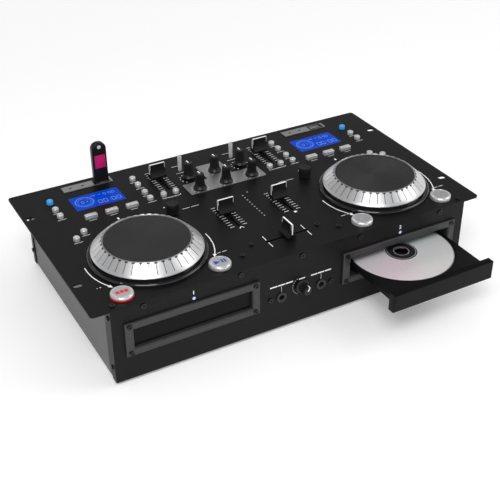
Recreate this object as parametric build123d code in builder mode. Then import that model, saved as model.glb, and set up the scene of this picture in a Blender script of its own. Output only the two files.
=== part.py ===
from build123d import *
import os

# A dual disc player and mixer for a 19 inch rack. Sizes are in millimetres.
# X runs to the right, Y to the back and Z up. The origin is the centre of the
# top panel's upper face, which is also the centre of its four rack slots.

# Top panel, a rack panel six units high
panel_width = 482.6
panel_depth = 264.0
panel_thickness = 2.0
panel_corner_radius = 4.0
panel_lip_height = 11.0
panel_lip_width = 404.0
rack_slot_spacing_x = 465.1
rack_slot_spacing_y = 149.2
rack_slot_length = 10.0
rack_slot_width = 6.8

# Case of bent sheet steel
case_width = 439.8
case_height = 92.5
sheet = 1.2
front_overhang = 1.0
rear_overhang = 2.5
front_flange = 16.5
rear_flange = 7.0
flange_corner = 8.0
tub_top_flange = 5.2
foot_height = 4.0
foot_radius = 9.0
foot_spacing_x = 380.0
foot_spacing_y = 200.0

# Screws
screw_radius = 1.5
screw_clearance = 0.1
screw_head_radius = 2.8
screw_head_height = 1.6
hex_socket_radius = 1.3
hex_socket_depth = 1.0
strip_screw_drop = 6.0
strip_screw_gaps = (75.0, 185.4)
front_flange_screw_from_front = 7.5
front_flange_screw_drops = (14.0, 76.0)
rear_flange_screw_from_rear = 3.5
rear_flange_screw_drops = (18.0, 74.0)
tub_screw_x = 215.6
tub_screw_y = 7.0
outer_stud_x = 60.8
outer_stud_y = 23.5
inner_stud_x = 41.8
inner_stud_y = 37.8

# Disc drives, one under each deck
drive_offset = 130.6
drive_mid_z = -41.4
drive_side_gap = 4.25
drive_height = 41.0
drive_depth = 188.0
drive_wall = 1.5
drive_leg = 12.0
bezel_side = 9.25
bezel_height = 41.0
bezel_proud = 3.0
bezel_screw_inset = 5.2
bezel_screw_spacing_z = 33.6
opening_side_gap = 4.75
opening_height = 23.8
sleeve_wall = 1.0
sleeve_depth = 12.0
door_clearance = 0.8
door_thickness = 9.0
door_recess = 1.0
tray_side = 2.5
tray_front = 8.5
tray_tail = 31.5
tray_thickness = 6.0
tray_top_z = -38.0
tray_slot_width = 36.0
tray_slot_reach = 64.0
runner_height = 3.0
runner_overlap = 2.5
runner_gap = 0.3
disc_radius = 60.0
disc_hole_radius = 7.5
disc_thickness = 1.2
disc_well_depth = 2.5
disc_well_clearance = 1.0
open_tray_travel = 84.5

# Spindle and laser sled
hub_radius = 14.0
hub_cone_radius = 7.2
hub_thickness = 2.0
hub_below_tray = 0.6
spindle_radius = 1.5
running_clearance = 0.05
motor_radius = 13.0
motor_height = 10.0
sled_width = 48.0
sled_depth = 28.0
sled_height = 7.0
sled_gap = 1.6
sled_travel = 34.0
rod_radius = 1.5
rod_offset = 19.0
rod_post = 7.0
lens_radius = 4.0
lens_height = 1.6

# Jog wheels
jog_x = 146.0
jog_y = 77.0
base_ring_radius = 65.0
base_ring_height = 4.2
base_step_radius = 58.5
base_step_height = 6.6
dish_thickness = 2.5
dish_boss_radius = 9.0
dish_boss_height = 12.0
rim_radius = 60.5
rim_bottom_z = 7.2
rim_edge_height = 1.2
rim_top_radius = 48.8
rim_top_z = 20.0
rim_wall = 3.0
platter_radius = 46.2
platter_thickness = 3.0
platter_seat = 2.5
platter_recess = 0.4
platter_side_clearance = 0.2
jog_hub_radius = 12.0
jog_hub_gap = 0.3
jog_shaft_radius = 4.0
jog_shaft_depth = 10.0
jog_panel_hole_radius = 8.0

# Large cue and play buttons
large_outer_x = 199.9
large_inner_x = 89.7
large_y = 19.4
large_radius = 12.2
large_height = 4.8
large_edge = 1.2
large_travel = 1.5

# Small buttons
small_radius = 3.8
small_height = 4.4
small_edge = 0.6
oblong_length = 14.5
oblong_depth = 6.2
button_clearance = 0.2
button_flange = 1.1
button_flange_height = 1.0
button_flange_gap = 0.2
button_stem_radius = 2.0
button_stem_depth = 9.0
button_travel = 1.0
switch_width = 6.0
switch_gap = 0.3
eject_x = 202.0
eject_y = 228.3
time_y = 208.9
mode_y = 193.0
search_back_x = 190.6
search_back_y = 148.8
search_front_x = 203.0
search_front_y = 138.4
track_outer_x = 171.7
track_middle_x = 146.6
track_inner_x = 121.5
track_gap = 16.6
loop_x = 96.6
loop_rows = (233.2, 216.6, 196.6, 180.8)
bend_outer_x = 79.5
bend_inner_x = 63.8
bend_y = 180.8

# Displays
display_x = 150.2
display_gap = 14.0
display_width = 61.5
display_depth = 33.2
display_clearance = 0.15
display_rim = 2.5
display_module_height = 5.0

# Memory stick sockets and their plates
usb_plate_x = {"left": -148.5, "right": 154.5}
usb_plate_rear_gap = 8.5
usb_plate_width = 61.5
usb_plate_depth = 12.6
plate_thickness = 0.8
usb_hole_radius = 1.6
usb_hole_shifts = (-20.8, -5.9)
usb_port_shift = 17.8
port_window_width = 17.0
port_window_depth = 8.6
socket_width = 14.0
socket_depth = 6.6
socket_wall = 0.7
socket_floor = 1.0
tongue_width = 10.8
tongue_thickness = 1.8
tongue_drop = 1.0
plug_width = 12.0
plug_depth = 4.6
plug_wall = 0.4
plug_length = 11.0
stick_width = 18.0
stick_thickness = 8.0
stick_length = 51.5
stick_gap = 0.2
stick_corner = 8.0
stick_hole_radius = 1.7
stick_hole_from_top = 4.4

# Mixer
knob_column = 35.0
knob_front_y = 174.5
knob_back_y = 205.0
knob_radius = 8.0
knob_top_radius = 4.9
knob_skirt_height = 1.6
knob_height = 19.6
knob_gap = 1.5
shaft_radius = 3.0
shaft_depth = 10.0
mixer_plate_width = 101.0
mixer_plate_depth = 26.0
mixer_plate_y = 178.2
mixer_tab_width = 33.0
mixer_tab_back_y = 225.0
mixer_plate_corner = 2.0
encoder_x = 88.0
encoder_y = 138.5
encoder_radius = 7.5
encoder_height = 12.0
toggle_x = 35.3
toggle_y = 229.5
toggle_width = 5.0
toggle_thickness = 1.6
toggle_height = 20.5
toggle_pivot_z = -5.0
toggle_pivot_radius = 2.6
toggle_slot = 8.0
toggle_body_width = 10.0
toggle_body_depth = 14.0
meter_x = 1.0
meter_front_y = 84.5
meter_back_y = 135.6
meter_count = 10
meter_led_radius = 0.8
meter_led_clearance = 0.1
power_led_x = 9.7
power_led_y = 140.5

# Faders
channel_fader_x = 35.0
channel_fader_slot_y = 103.0
channel_fader_rest = 7.5
pitch_fader_x = {"left": -67.6, "right": 73.6}
pitch_fader_slot_y = 216.0
pitch_fader_rest = 8.5
cross_fader_slot_y = 34.5
cross_fader_rest = 1.5
fader_slot_length = 52.0
fader_slot_width = 2.6
fader_body_length = 58.0
fader_body_width = 12.0
fader_body_floor = 1.0
fader_cap_width = 20.0
fader_cap_depth = 11.0
fader_cap_foot = 2.0
fader_ridge = 2.6
fader_cap_top = 19.0
fader_cap_gap = 1.5
fader_lever_length = 4.0
fader_lever_width = 1.6
fader_lever_depth = 10.0

# Control board, hung under the top panel
board_gap = 12.0
board_thickness = 1.6
board_width = 412.0
board_depth = 246.0
board_y = 132.0
solder_gap = 0.1
stud_radius = 3.5
pot_radius = 7.0

# Front connections
jack_x = 25.3
front_row_drop = 52.0
jack_bore_radius = 3.2
jack_bushing_radius = 4.8
jack_bushing_proud = 1.2
jack_body_width = 14.0
jack_depth = 28.0
jack_wall = 2.0
jack_post_x = 38.6
jack_board_width = 92.0
jack_board_height = 26.0
jack_board_setback = 12.0
mix_knob_drop = 45.0
mix_knob_height = 13.0
front_led_x = 130.0
front_led_drop = 16.4
front_led_radius = 1.6
front_led_length = 6.0
led_clearance = 0.05

# Rear connections
phono_x = -60.0
phono_drop = 34.0
phono_pitch_x = 18.0
phono_pitch_z = 18.0
phono_columns = 4
phono_shell_radius = 4.15
phono_shell_length = 8.1
phono_neck_radius = 3.9
phono_neck_length = 0.4
phono_bore_radius = 1.65
phono_collar_radius = 5.5
phono_hole_clearance = 0.2
phono_board_gap = 8.0
inlet_x = 150.0
inlet_drop = 60.0
inlet_width = 27.4
inlet_height = 19.6
inlet_wall = 1.5
inlet_depth = 18.0
inlet_flange = 2.0
inlet_pin_spacing = 14.0
inlet_pin_width = 4.0
inlet_pin_thickness = 2.0
rocker_shift = 28.0
rocker_width = 11.0
rocker_height = 18.0
rocker_depth = 8.0
rocker_clearance = 0.7
rocker_tilt = 8.0

# Power supply on the case floor behind the right drive
supply_x = 110.0
supply_y = 225.0
supply_width = 118.0
supply_depth = 52.0
supply_standoff = 6.0
transformer_width = 44.0
transformer_depth = 38.0
transformer_height = 34.0
capacitor_radius = 8.0
capacitor_height = 26.0

# Heights and edges that the pieces share
panel_under_z = -panel_thickness
case_bottom_z = -case_height
floor_top_z = case_bottom_z + sheet
front_edge_y = -panel_depth / 2
rear_edge_y = panel_depth / 2
front_face_y = front_edge_y + front_overhang
front_inner_y = front_face_y + sheet
rear_face_y = rear_edge_y - rear_overhang
rear_inner_y = rear_face_y - sheet
tub_length = rear_inner_y - front_inner_y
tub_mid_y = (front_inner_y + rear_inner_y) / 2
case_inner_width = case_width - 2 * sheet
board_top_z = panel_under_z - board_gap
body_bottom_z = board_top_z + solder_gap
screw_hole_radius = screw_radius + screw_clearance
screw_length = bezel_proud + sheet
shaft_hole_radius = shaft_radius + running_clearance
drive_top_z = drive_mid_z + drive_height / 2
drive_bottom_z = drive_mid_z - drive_height / 2
drive_floor_z = drive_bottom_z + drive_wall
drive_front_y = front_inner_y
door_front_y = front_face_y + door_recess
door_back_y = door_front_y + door_thickness
tray_bottom_z = tray_top_z - tray_thickness
well_floor_z = tray_top_z - disc_well_depth
well_radius = disc_radius + disc_well_clearance
disc_center_y = door_back_y + tray_front + well_radius
tray_length = tray_front + 2 * well_radius + tray_tail
tray_width = 2 * (well_radius + tray_side)
opening_width = tray_width + 2 * opening_side_gap
drive_width = opening_width + 2 * (drive_wall + drive_side_gap)
bezel_width = opening_width + 2 * bezel_side
bezel_screw_spacing_x = bezel_width - 2 * bezel_screw_inset
front_row_z = -front_row_drop
sides = {"left": -1, "right": 1}
tray_travel = {"left": 0.0, "right": open_tray_travel}

os.makedirs("parts", exist_ok=True)


def save(builder, name):
    builder.part.label = name
    export_step(builder.part, f"parts/{name}.step")
    print(name, len(builder.part.solids()))


def from_front(x, y):
    return (x, front_edge_y + y)


def both_sides(x, y):
    return [from_front(-x, y), from_front(x, y)]


def level(z):
    return Plane.XY.offset(z)


def facing_front(y):
    return Plane.XZ.offset(-y)


def outline_plane(seat):
    return Plane(origin=seat.origin, x_dir=seat.x_dir, z_dir=seat.x_dir.cross(seat.z_dir))


def seat_at(spot, z):
    return Plane(origin=(spot[0], spot[1], z))


# Places of the controls
usb_plate_y = panel_depth - usb_plate_rear_gap - usb_plate_depth / 2
display_y = usb_plate_y - usb_plate_depth / 2 - display_gap - display_depth / 2
track_y = display_y - display_depth / 2 - track_gap - oblong_depth / 2
eject_spots = both_sides(eject_x, eject_y)
outer_button_places = [
    (eject_x, time_y),
    (eject_x, mode_y),
    (search_back_x, search_back_y),
    (search_front_x, search_front_y),
]
inner_button_places = [(loop_x, row) for row in loop_rows]
inner_button_places += [(bend_outer_x, bend_y), (bend_inner_x, bend_y)]
track_button_places = [(track_outer_x, track_y), (track_middle_x, track_y), (track_inner_x, track_y)]
round_button_spots = list(eject_spots)
track_button_spots = []
for place in outer_button_places + inner_button_places:
    round_button_spots += both_sides(*place)
for place in track_button_places:
    track_button_spots += both_sides(*place)
large_button_spots = both_sides(large_outer_x, large_y) + both_sides(large_inner_x, large_y)
knob_spots = {}
for row, row_y in (("back", knob_back_y), ("front", knob_front_y)):
    for column, column_x in (("left", -knob_column), ("middle", 0), ("right", knob_column)):
        knob_spots[f"{row}_{column}_knob"] = from_front(column_x, row_y)
encoder_spots = both_sides(encoder_x, encoder_y)
toggle_spots = both_sides(toggle_x, toggle_y)
jog_spots = both_sides(jog_x, jog_y)
display_spots = both_sides(display_x, display_y)
socket_spots = [from_front(x + usb_port_shift, usb_plate_y) for x in usb_plate_x.values()]
meter_spacing = (meter_back_y - meter_front_y) / (meter_count - 1)
meter_mid_y = (meter_front_y + meter_back_y) / 2
meter_spot = from_front(meter_x, meter_mid_y)
power_led_spot = from_front(power_led_x, power_led_y)
stud_spots = both_sides(outer_stud_x, outer_stud_y) + both_sides(inner_stud_x, inner_stud_y)
tub_screw_spots = both_sides(tub_screw_x, tub_screw_y)
straight_faders = {
    "channel_fader_left": from_front(-channel_fader_x, channel_fader_slot_y),
    "channel_fader_right": from_front(channel_fader_x, channel_fader_slot_y),
    "pitch_fader_left": from_front(pitch_fader_x["left"], pitch_fader_slot_y),
    "pitch_fader_right": from_front(pitch_fader_x["right"], pitch_fader_slot_y),
}
cross_fader_spot = from_front(0, cross_fader_slot_y)
strip_screw_spots = [(0, -strip_screw_drop)]
for gap in strip_screw_gaps:
    strip_screw_spots += [(-gap, -strip_screw_drop), (gap, -strip_screw_drop)]


def turned(seat, corners):
    # A turned piece from (radius, height) corners above its seat
    with BuildPart() as piece:
        with BuildSketch(outline_plane(seat)):
            with BuildLine():
                Polyline(*corners, close=True)
            make_face()
        revolve(axis=Axis(seat.origin, seat.z_dir))
    return piece


# Top panel with its cut-outs and the lips that the front and rear plates screw to
with BuildPart() as top_panel:
    with BuildSketch(level(panel_under_z)):
        RectangleRounded(panel_width, panel_depth, panel_corner_radius)
        with GridLocations(rack_slot_spacing_x, rack_slot_spacing_y, 2, 2):
            SlotOverall(rack_slot_length, rack_slot_width, mode=Mode.SUBTRACT)
        with Locations(*round_button_spots):
            Circle(small_radius + button_clearance, mode=Mode.SUBTRACT)
        with Locations(*track_button_spots):
            Rectangle(
                oblong_length + 2 * button_clearance,
                oblong_depth + 2 * button_clearance,
                mode=Mode.SUBTRACT,
            )
        with Locations(*large_button_spots):
            Circle(large_radius + button_clearance, mode=Mode.SUBTRACT)
        with Locations(*knob_spots.values(), *encoder_spots):
            Circle(shaft_radius + 2 * button_clearance, mode=Mode.SUBTRACT)
        with Locations(*toggle_spots):
            Rectangle(toggle_width + 1, toggle_slot, mode=Mode.SUBTRACT)
        with Locations(*jog_spots):
            Circle(jog_panel_hole_radius, mode=Mode.SUBTRACT)
        with Locations(*display_spots):
            Rectangle(display_width, display_depth, mode=Mode.SUBTRACT)
        with Locations(*socket_spots):
            Rectangle(socket_width, socket_depth, mode=Mode.SUBTRACT)
        with Locations(meter_spot):
            with GridLocations(0, meter_spacing, 1, meter_count):
                Circle(meter_led_radius + meter_led_clearance, mode=Mode.SUBTRACT)
        with Locations(power_led_spot):
            Circle(meter_led_radius + meter_led_clearance, mode=Mode.SUBTRACT)
        with Locations(*straight_faders.values()):
            SlotOverall(fader_slot_length, fader_slot_width, rotation=90, mode=Mode.SUBTRACT)
        with Locations(cross_fader_spot):
            SlotOverall(fader_slot_length, fader_slot_width, mode=Mode.SUBTRACT)
        with Locations(*stud_spots, *tub_screw_spots):
            Circle(screw_hole_radius, mode=Mode.SUBTRACT)
    extrude(amount=panel_thickness)
    with BuildSketch(level(panel_under_z)):
        with Locations((0, front_inner_y + sheet / 2), (0, rear_inner_y - sheet / 2)):
            Rectangle(panel_lip_width, sheet)
    extrude(amount=-panel_lip_height)
    with BuildSketch(facing_front(front_inner_y)):
        with Locations(*strip_screw_spots):
            Circle(screw_hole_radius)
    extrude(amount=-sheet, mode=Mode.SUBTRACT)
save(top_panel, "top_panel")

# Case tub: floor and side walls with flanges under the top panel
with BuildPart() as base_chassis:
    with BuildSketch(facing_front(front_inner_y)):
        with Locations((0, (case_bottom_z + panel_under_z) / 2)):
            Rectangle(case_width, panel_under_z - case_bottom_z)
        with Locations((0, (floor_top_z + panel_under_z) / 2)):
            Rectangle(case_inner_width, panel_under_z - floor_top_z, mode=Mode.SUBTRACT)
        with Locations((0, panel_under_z - sheet / 2)):
            Rectangle(case_inner_width, sheet)
            Rectangle(case_inner_width - 2 * tub_top_flange, sheet, mode=Mode.SUBTRACT)
    extrude(amount=-tub_length)
    with BuildSketch(level(panel_under_z)):
        with Locations(*tub_screw_spots):
            Circle(screw_hole_radius)
    extrude(amount=-sheet, mode=Mode.SUBTRACT)
    front_flange_screw_y = front_face_y + front_flange_screw_from_front
    rear_flange_screw_y = rear_face_y - rear_flange_screw_from_rear
    with BuildSketch(Plane.YZ.offset(-case_width / 2)):
        with Locations(*[(front_flange_screw_y, -drop) for drop in front_flange_screw_drops]):
            Circle(screw_hole_radius)
        with Locations(*[(rear_flange_screw_y, -drop) for drop in rear_flange_screw_drops]):
            Circle(screw_hole_radius)
    extrude(amount=case_width, mode=Mode.SUBTRACT)
save(base_chassis, "base_chassis")

# Front plate with side flanges round the tub
plate_width = case_width + 2 * sheet
bezel_spots = [(side * drive_offset, drive_mid_z) for side in sides.values()]
with BuildPart() as front_plate:
    with BuildSketch(level(case_bottom_z)):
        with Locations((0, front_face_y + front_flange / 2)):
            Rectangle(plate_width, front_flange)
        with Locations((0, front_inner_y + front_flange / 2)):
            Rectangle(case_width, front_flange, mode=Mode.SUBTRACT)
    extrude(amount=panel_under_z - case_bottom_z)
    rear_corner = (front_face_y + front_flange, case_bottom_z)
    with BuildSketch(Plane.YZ.offset(-plate_width / 2)):
        with BuildLine():
            Polyline(
                rear_corner,
                (rear_corner[0] - flange_corner, case_bottom_z),
                (rear_corner[0], case_bottom_z + 1.5 * flange_corner),
                close=True,
            )
        make_face()
        with Locations(*[(front_flange_screw_y, -drop) for drop in front_flange_screw_drops]):
            Circle(screw_hole_radius)
    extrude(amount=plate_width, mode=Mode.SUBTRACT)
    with BuildSketch(facing_front(front_face_y)):
        with Locations(*bezel_spots):
            Rectangle(opening_width + 2 * sleeve_wall, opening_height + 2 * sleeve_wall)
            with GridLocations(bezel_screw_spacing_x, bezel_screw_spacing_z, 2, 2):
                Circle(screw_hole_radius)
        with Locations(*strip_screw_spots, (-jack_post_x, front_row_z), (jack_post_x, front_row_z)):
            Circle(screw_hole_radius)
        with Locations((-jack_x, front_row_z), (jack_x, front_row_z)):
            Circle(jack_bushing_radius)
        with Locations((0, -mix_knob_drop)):
            Circle(shaft_radius + 2 * button_clearance)
        with Locations((-front_led_x, -front_led_drop), (front_led_x, -front_led_drop)):
            Circle(front_led_radius + led_clearance)
    extrude(amount=-sheet, mode=Mode.SUBTRACT)
save(front_plate, "front_plate")

# Rear plate with its own narrow flanges
phono_first_x = phono_x - phono_pitch_x * (phono_columns - 1) / 2
phono_spots = []
for row in (0, 1):
    for column in range(phono_columns):
        phono_spots.append((phono_first_x + column * phono_pitch_x, -phono_drop - row * phono_pitch_z))
inlet_z = -inlet_drop
rocker_z = inlet_z + rocker_shift
module_width = inlet_width
module_top_z = rocker_z + rocker_width / 2 + rocker_clearance + inlet_wall
module_bottom_z = inlet_z - inlet_height / 2
module_mid_z = (module_top_z + module_bottom_z) / 2
module_height = module_top_z - module_bottom_z
with BuildPart() as rear_plate:
    with BuildSketch(level(case_bottom_z)):
        with Locations((0, rear_face_y - rear_flange / 2)):
            Rectangle(plate_width, rear_flange)
        with Locations((0, rear_inner_y - rear_flange / 2)):
            Rectangle(case_width, rear_flange, mode=Mode.SUBTRACT)
    extrude(amount=panel_under_z - case_bottom_z)
    with BuildSketch(Plane.YZ.offset(-plate_width / 2)):
        with Locations(*[(rear_flange_screw_y, -drop) for drop in rear_flange_screw_drops]):
            Circle(screw_hole_radius)
    extrude(amount=plate_width, mode=Mode.SUBTRACT)
    with BuildSketch(facing_front(rear_inner_y)):
        with Locations(*phono_spots):
            Circle(phono_shell_radius + phono_hole_clearance)
        with Locations((inlet_x, module_mid_z)):
            Rectangle(module_width + phono_hole_clearance, module_height + phono_hole_clearance)
    extrude(amount=-sheet, mode=Mode.SUBTRACT)
save(rear_plate, "rear_plate")

# Tray bezels: a frame in front of the plate and a sleeve through it
with BuildPart() as tray_bezels:
    with BuildSketch(facing_front(front_face_y)):
        with Locations(*bezel_spots):
            Rectangle(bezel_width, bezel_height)
            Rectangle(opening_width, opening_height, mode=Mode.SUBTRACT)
            with GridLocations(bezel_screw_spacing_x, bezel_screw_spacing_z, 2, 2):
                Circle(screw_hole_radius, mode=Mode.SUBTRACT)
    extrude(amount=bezel_proud)
    with BuildSketch(facing_front(front_face_y)):
        with Locations(*bezel_spots):
            Rectangle(opening_width + 2 * sleeve_wall, opening_height + 2 * sleeve_wall)
            Rectangle(opening_width, opening_height, mode=Mode.SUBTRACT)
    extrude(amount=-sleeve_depth)
save(tray_bezels, "tray_bezels")

# Rubber feet
with BuildPart() as rubber_feet:
    with BuildSketch(level(case_bottom_z)):
        with GridLocations(foot_spacing_x, foot_spacing_y, 2, 2):
            Circle(foot_radius)
    extrude(amount=-foot_height, taper=6)
save(rubber_feet, "rubber_feet")

# Case screws with hexagon sockets, all the same
screw_seats = []
for spot in strip_screw_spots + [(-jack_post_x, front_row_z), (jack_post_x, front_row_z)]:
    screw_seats.append(facing_front(front_face_y).shift_origin((spot[0], front_face_y, spot[1])))
for side in sides.values():
    for shift_x in (-bezel_screw_spacing_x / 2, bezel_screw_spacing_x / 2):
        for shift_z in (-bezel_screw_spacing_z / 2, bezel_screw_spacing_z / 2):
            seat_origin = (side * drive_offset + shift_x, front_face_y - bezel_proud, drive_mid_z + shift_z)
            screw_seats.append(Plane(origin=seat_origin, x_dir=(1, 0, 0), z_dir=(0, -1, 0)))
    side_holes = [(front_flange_screw_y, -drop) for drop in front_flange_screw_drops]
    side_holes += [(rear_flange_screw_y, -drop) for drop in rear_flange_screw_drops]
    for hole_y, hole_z in side_holes:
        seat_origin = (side * plate_width / 2, hole_y, hole_z)
        screw_seats.append(Plane(origin=seat_origin, x_dir=(0, 1, 0), z_dir=(side, 0, 0)))
for spot in tub_screw_spots + stud_spots:
    screw_seats.append(seat_at(spot, 0))
with BuildPart() as case_screws:
    for seat in screw_seats:
        with BuildSketch(seat):
            Circle(screw_head_radius)
        extrude(amount=screw_head_height)
        with BuildSketch(seat):
            Circle(screw_radius)
        extrude(amount=-screw_length)
        with BuildSketch(seat.offset(screw_head_height)):
            RegularPolygon(hex_socket_radius, 6)
        extrude(amount=-hex_socket_depth, mode=Mode.SUBTRACT)
save(case_screws, "case_screws")

# Drive units: an open-fronted housing with runners, motor, rods and legs
hub_top_z = tray_bottom_z - hub_below_tray
turntable_top_z = hub_top_z - hub_thickness
turntable_bottom_z = turntable_top_z - hub_thickness
motor_top_z = drive_floor_z + motor_height
rod_z = drive_floor_z + sled_gap + sled_height / 2
sled_front_y = disc_center_y + hub_radius + sled_gap
rod_front_y = disc_center_y + motor_radius / 2
rod_rear_y = sled_front_y + sled_depth + sled_travel + sled_gap
rod_length = rod_rear_y - rod_front_y
runner_front_y = front_face_y + sleeve_depth + runner_gap
runner_length = drive_front_y + drive_depth - drive_wall - runner_front_y
runner_top_z = tray_bottom_z - runner_gap
runner_width = (drive_width - tray_width) / 2 - drive_wall + runner_overlap
leg_height = drive_bottom_z - floor_top_z
drive_mid_y = drive_front_y + drive_depth / 2
with BuildPart() as drive_units:
    for side in sides.values():
        drive_x = side * drive_offset
        with BuildSketch(facing_front(drive_front_y)):
            with Locations((drive_x, drive_mid_z)):
                Rectangle(drive_width, drive_height)
        extrude(amount=-drive_depth)
        with BuildSketch(facing_front(drive_front_y)):
            with Locations((drive_x, drive_mid_z)):
                Rectangle(drive_width - 2 * drive_wall, drive_height - 2 * drive_wall)
        extrude(amount=drive_wall - drive_depth, mode=Mode.SUBTRACT)
        with BuildSketch(facing_front(runner_front_y)):
            for edge in (-1, 1):
                runner_x = drive_x + edge * (drive_width / 2 - drive_wall - runner_width / 2)
                with Locations((runner_x, runner_top_z - runner_height / 2)):
                    Rectangle(runner_width, runner_height)
        extrude(amount=-runner_length)
        with BuildSketch(level(floor_top_z)):
            with Locations((drive_x, drive_mid_y)):
                with GridLocations(drive_width - drive_leg, drive_depth - drive_leg, 2, 2):
                    Rectangle(drive_leg, drive_leg)
        extrude(amount=leg_height)
        with BuildSketch(level(drive_floor_z)):
            with Locations((drive_x, disc_center_y)):
                Circle(motor_radius)
                Circle(spindle_radius + running_clearance, mode=Mode.SUBTRACT)
        extrude(amount=motor_height)
        with BuildSketch(level(drive_floor_z)):
            for edge in (-1, 1):
                with Locations((drive_x + edge * rod_offset, rod_front_y), (drive_x + edge * rod_offset, rod_rear_y)):
                    Rectangle(rod_post, 2 * rod_radius)
        extrude(amount=rod_z + rod_post / 2 - drive_floor_z)
        with BuildSketch(facing_front(rod_front_y)):
            with Locations((drive_x - rod_offset, rod_z), (drive_x + rod_offset, rod_z)):
                Circle(rod_radius)
        extrude(amount=-rod_length)
save(drive_units, "drive_units")

for name, side in sides.items():
    drive_x = side * drive_offset
    out_y = -tray_travel[name]

    # Disc tray with its round well and the slot over the spindle and laser
    tray_center_y = disc_center_y + out_y
    tray_front_y = door_back_y + out_y
    with BuildPart() as tray:
        with BuildSketch(level(tray_bottom_z)):
            with Locations((drive_x, tray_front_y + tray_length / 2)):
                Rectangle(tray_width, tray_length)
            with Locations((drive_x, tray_center_y)):
                Circle(tray_slot_width / 2, mode=Mode.SUBTRACT)
            with Locations((drive_x, tray_center_y + tray_slot_reach / 2)):
                Rectangle(tray_slot_width, tray_slot_reach, mode=Mode.SUBTRACT)
        extrude(amount=tray_thickness)
        with BuildSketch(level(tray_top_z)):
            with Locations((drive_x, tray_center_y)):
                Circle(well_radius)
        extrude(amount=-disc_well_depth, mode=Mode.SUBTRACT)
    save(tray, f"tray_{name}")

    # Tray door, clipped to the front of the tray
    with BuildPart() as tray_door:
        with BuildSketch(facing_front(door_front_y + out_y)):
            with Locations((drive_x, drive_mid_z)):
                Rectangle(opening_width - 2 * door_clearance, opening_height - 2 * door_clearance)
        extrude(amount=-door_thickness)
        front_edges = tray_door.faces().sort_by(Axis.Y)[0].edges()
        fillet(front_edges, door_clearance)
    save(tray_door, f"tray_door_{name}")

    # Spindle hub with its centring cone and shaft
    hub_seat = Plane(origin=(drive_x, disc_center_y, turntable_bottom_z))
    shaft_bottom = drive_floor_z + 1 - turntable_bottom_z
    cone_top = hub_top_z - turntable_bottom_z
    spindle_hub = turned(
        hub_seat,
        [
            (0, shaft_bottom),
            (spindle_radius, shaft_bottom),
            (spindle_radius, 0),
            (hub_radius, 0),
            (hub_radius, hub_thickness),
            (hub_cone_radius, hub_thickness),
            (hub_cone_radius - hub_thickness / 2, cone_top),
            (0, cone_top),
        ],
    )
    save(spindle_hub, f"spindle_hub_{name}")

    # Laser sled on its two rods, lens upwards
    sled_mid_y = sled_front_y + sled_depth / 2
    with BuildPart() as laser_sled:
        with BuildSketch(facing_front(sled_front_y)):
            with Locations((drive_x, rod_z)):
                Rectangle(sled_width, sled_height)
            with Locations((drive_x - rod_offset, rod_z), (drive_x + rod_offset, rod_z)):
                Circle(rod_radius + running_clearance, mode=Mode.SUBTRACT)
        extrude(amount=-sled_depth)
        with BuildSketch(level(rod_z + sled_height / 2)):
            with Locations((drive_x, sled_front_y + 2 * lens_radius)):
                Circle(lens_radius)
        extrude(amount=lens_height)
    save(laser_sled, f"laser_sled_{name}")

# Disc lying in the open right tray
with BuildPart() as compact_disc:
    with BuildSketch(level(well_floor_z)):
        with Locations((drive_offset, disc_center_y - open_tray_travel)):
            Circle(disc_radius)
            Circle(disc_hole_radius, mode=Mode.SUBTRACT)
    extrude(amount=disc_thickness)
save(compact_disc, "compact_disc")

# Jog wheels: a dish fixed to the panel, a silver rim and a touch platter on a shaft
shaft_bore_radius = jog_shaft_radius + running_clearance
ledge_radius = platter_radius - platter_seat
rim_seat_z = rim_top_z - platter_recess - platter_thickness
rim_under_radius = rim_radius - rim_wall
rim_slope = (rim_radius - rim_top_radius) / (rim_top_z - rim_bottom_z - rim_edge_height)
with BuildPart() as jog_dishes:
    for spot in jog_spots:
        with BuildSketch(level(0)):
            with Locations(spot):
                Circle(base_ring_radius)
        extrude(amount=base_ring_height)
        with BuildSketch(level(base_ring_height)):
            with Locations(spot):
                Circle(base_step_radius)
        extrude(amount=base_step_height - base_ring_height)
        with BuildSketch(level(dish_thickness)):
            with Locations(spot):
                Circle(base_step_radius - rim_wall)
                Circle(dish_boss_radius, mode=Mode.SUBTRACT)
        extrude(amount=base_step_height, mode=Mode.SUBTRACT)
        with BuildSketch(level(dish_thickness)):
            with Locations(spot):
                Circle(dish_boss_radius)
        extrude(amount=dish_boss_height - dish_thickness)
        with BuildSketch(level(0)):
            with Locations(spot):
                Circle(shaft_bore_radius)
        extrude(amount=dish_boss_height, mode=Mode.SUBTRACT)
    ring_edges = jog_dishes.edges().filter_by(GeomType.CIRCLE)
    ring_edges = ring_edges.filter_by(lambda edge: abs(edge.radius - base_ring_radius) < sheet / 2)
    fillet(ring_edges.group_by(Axis.Z)[-1], base_ring_height / 2)
save(jog_dishes, "jog_dishes")
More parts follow.
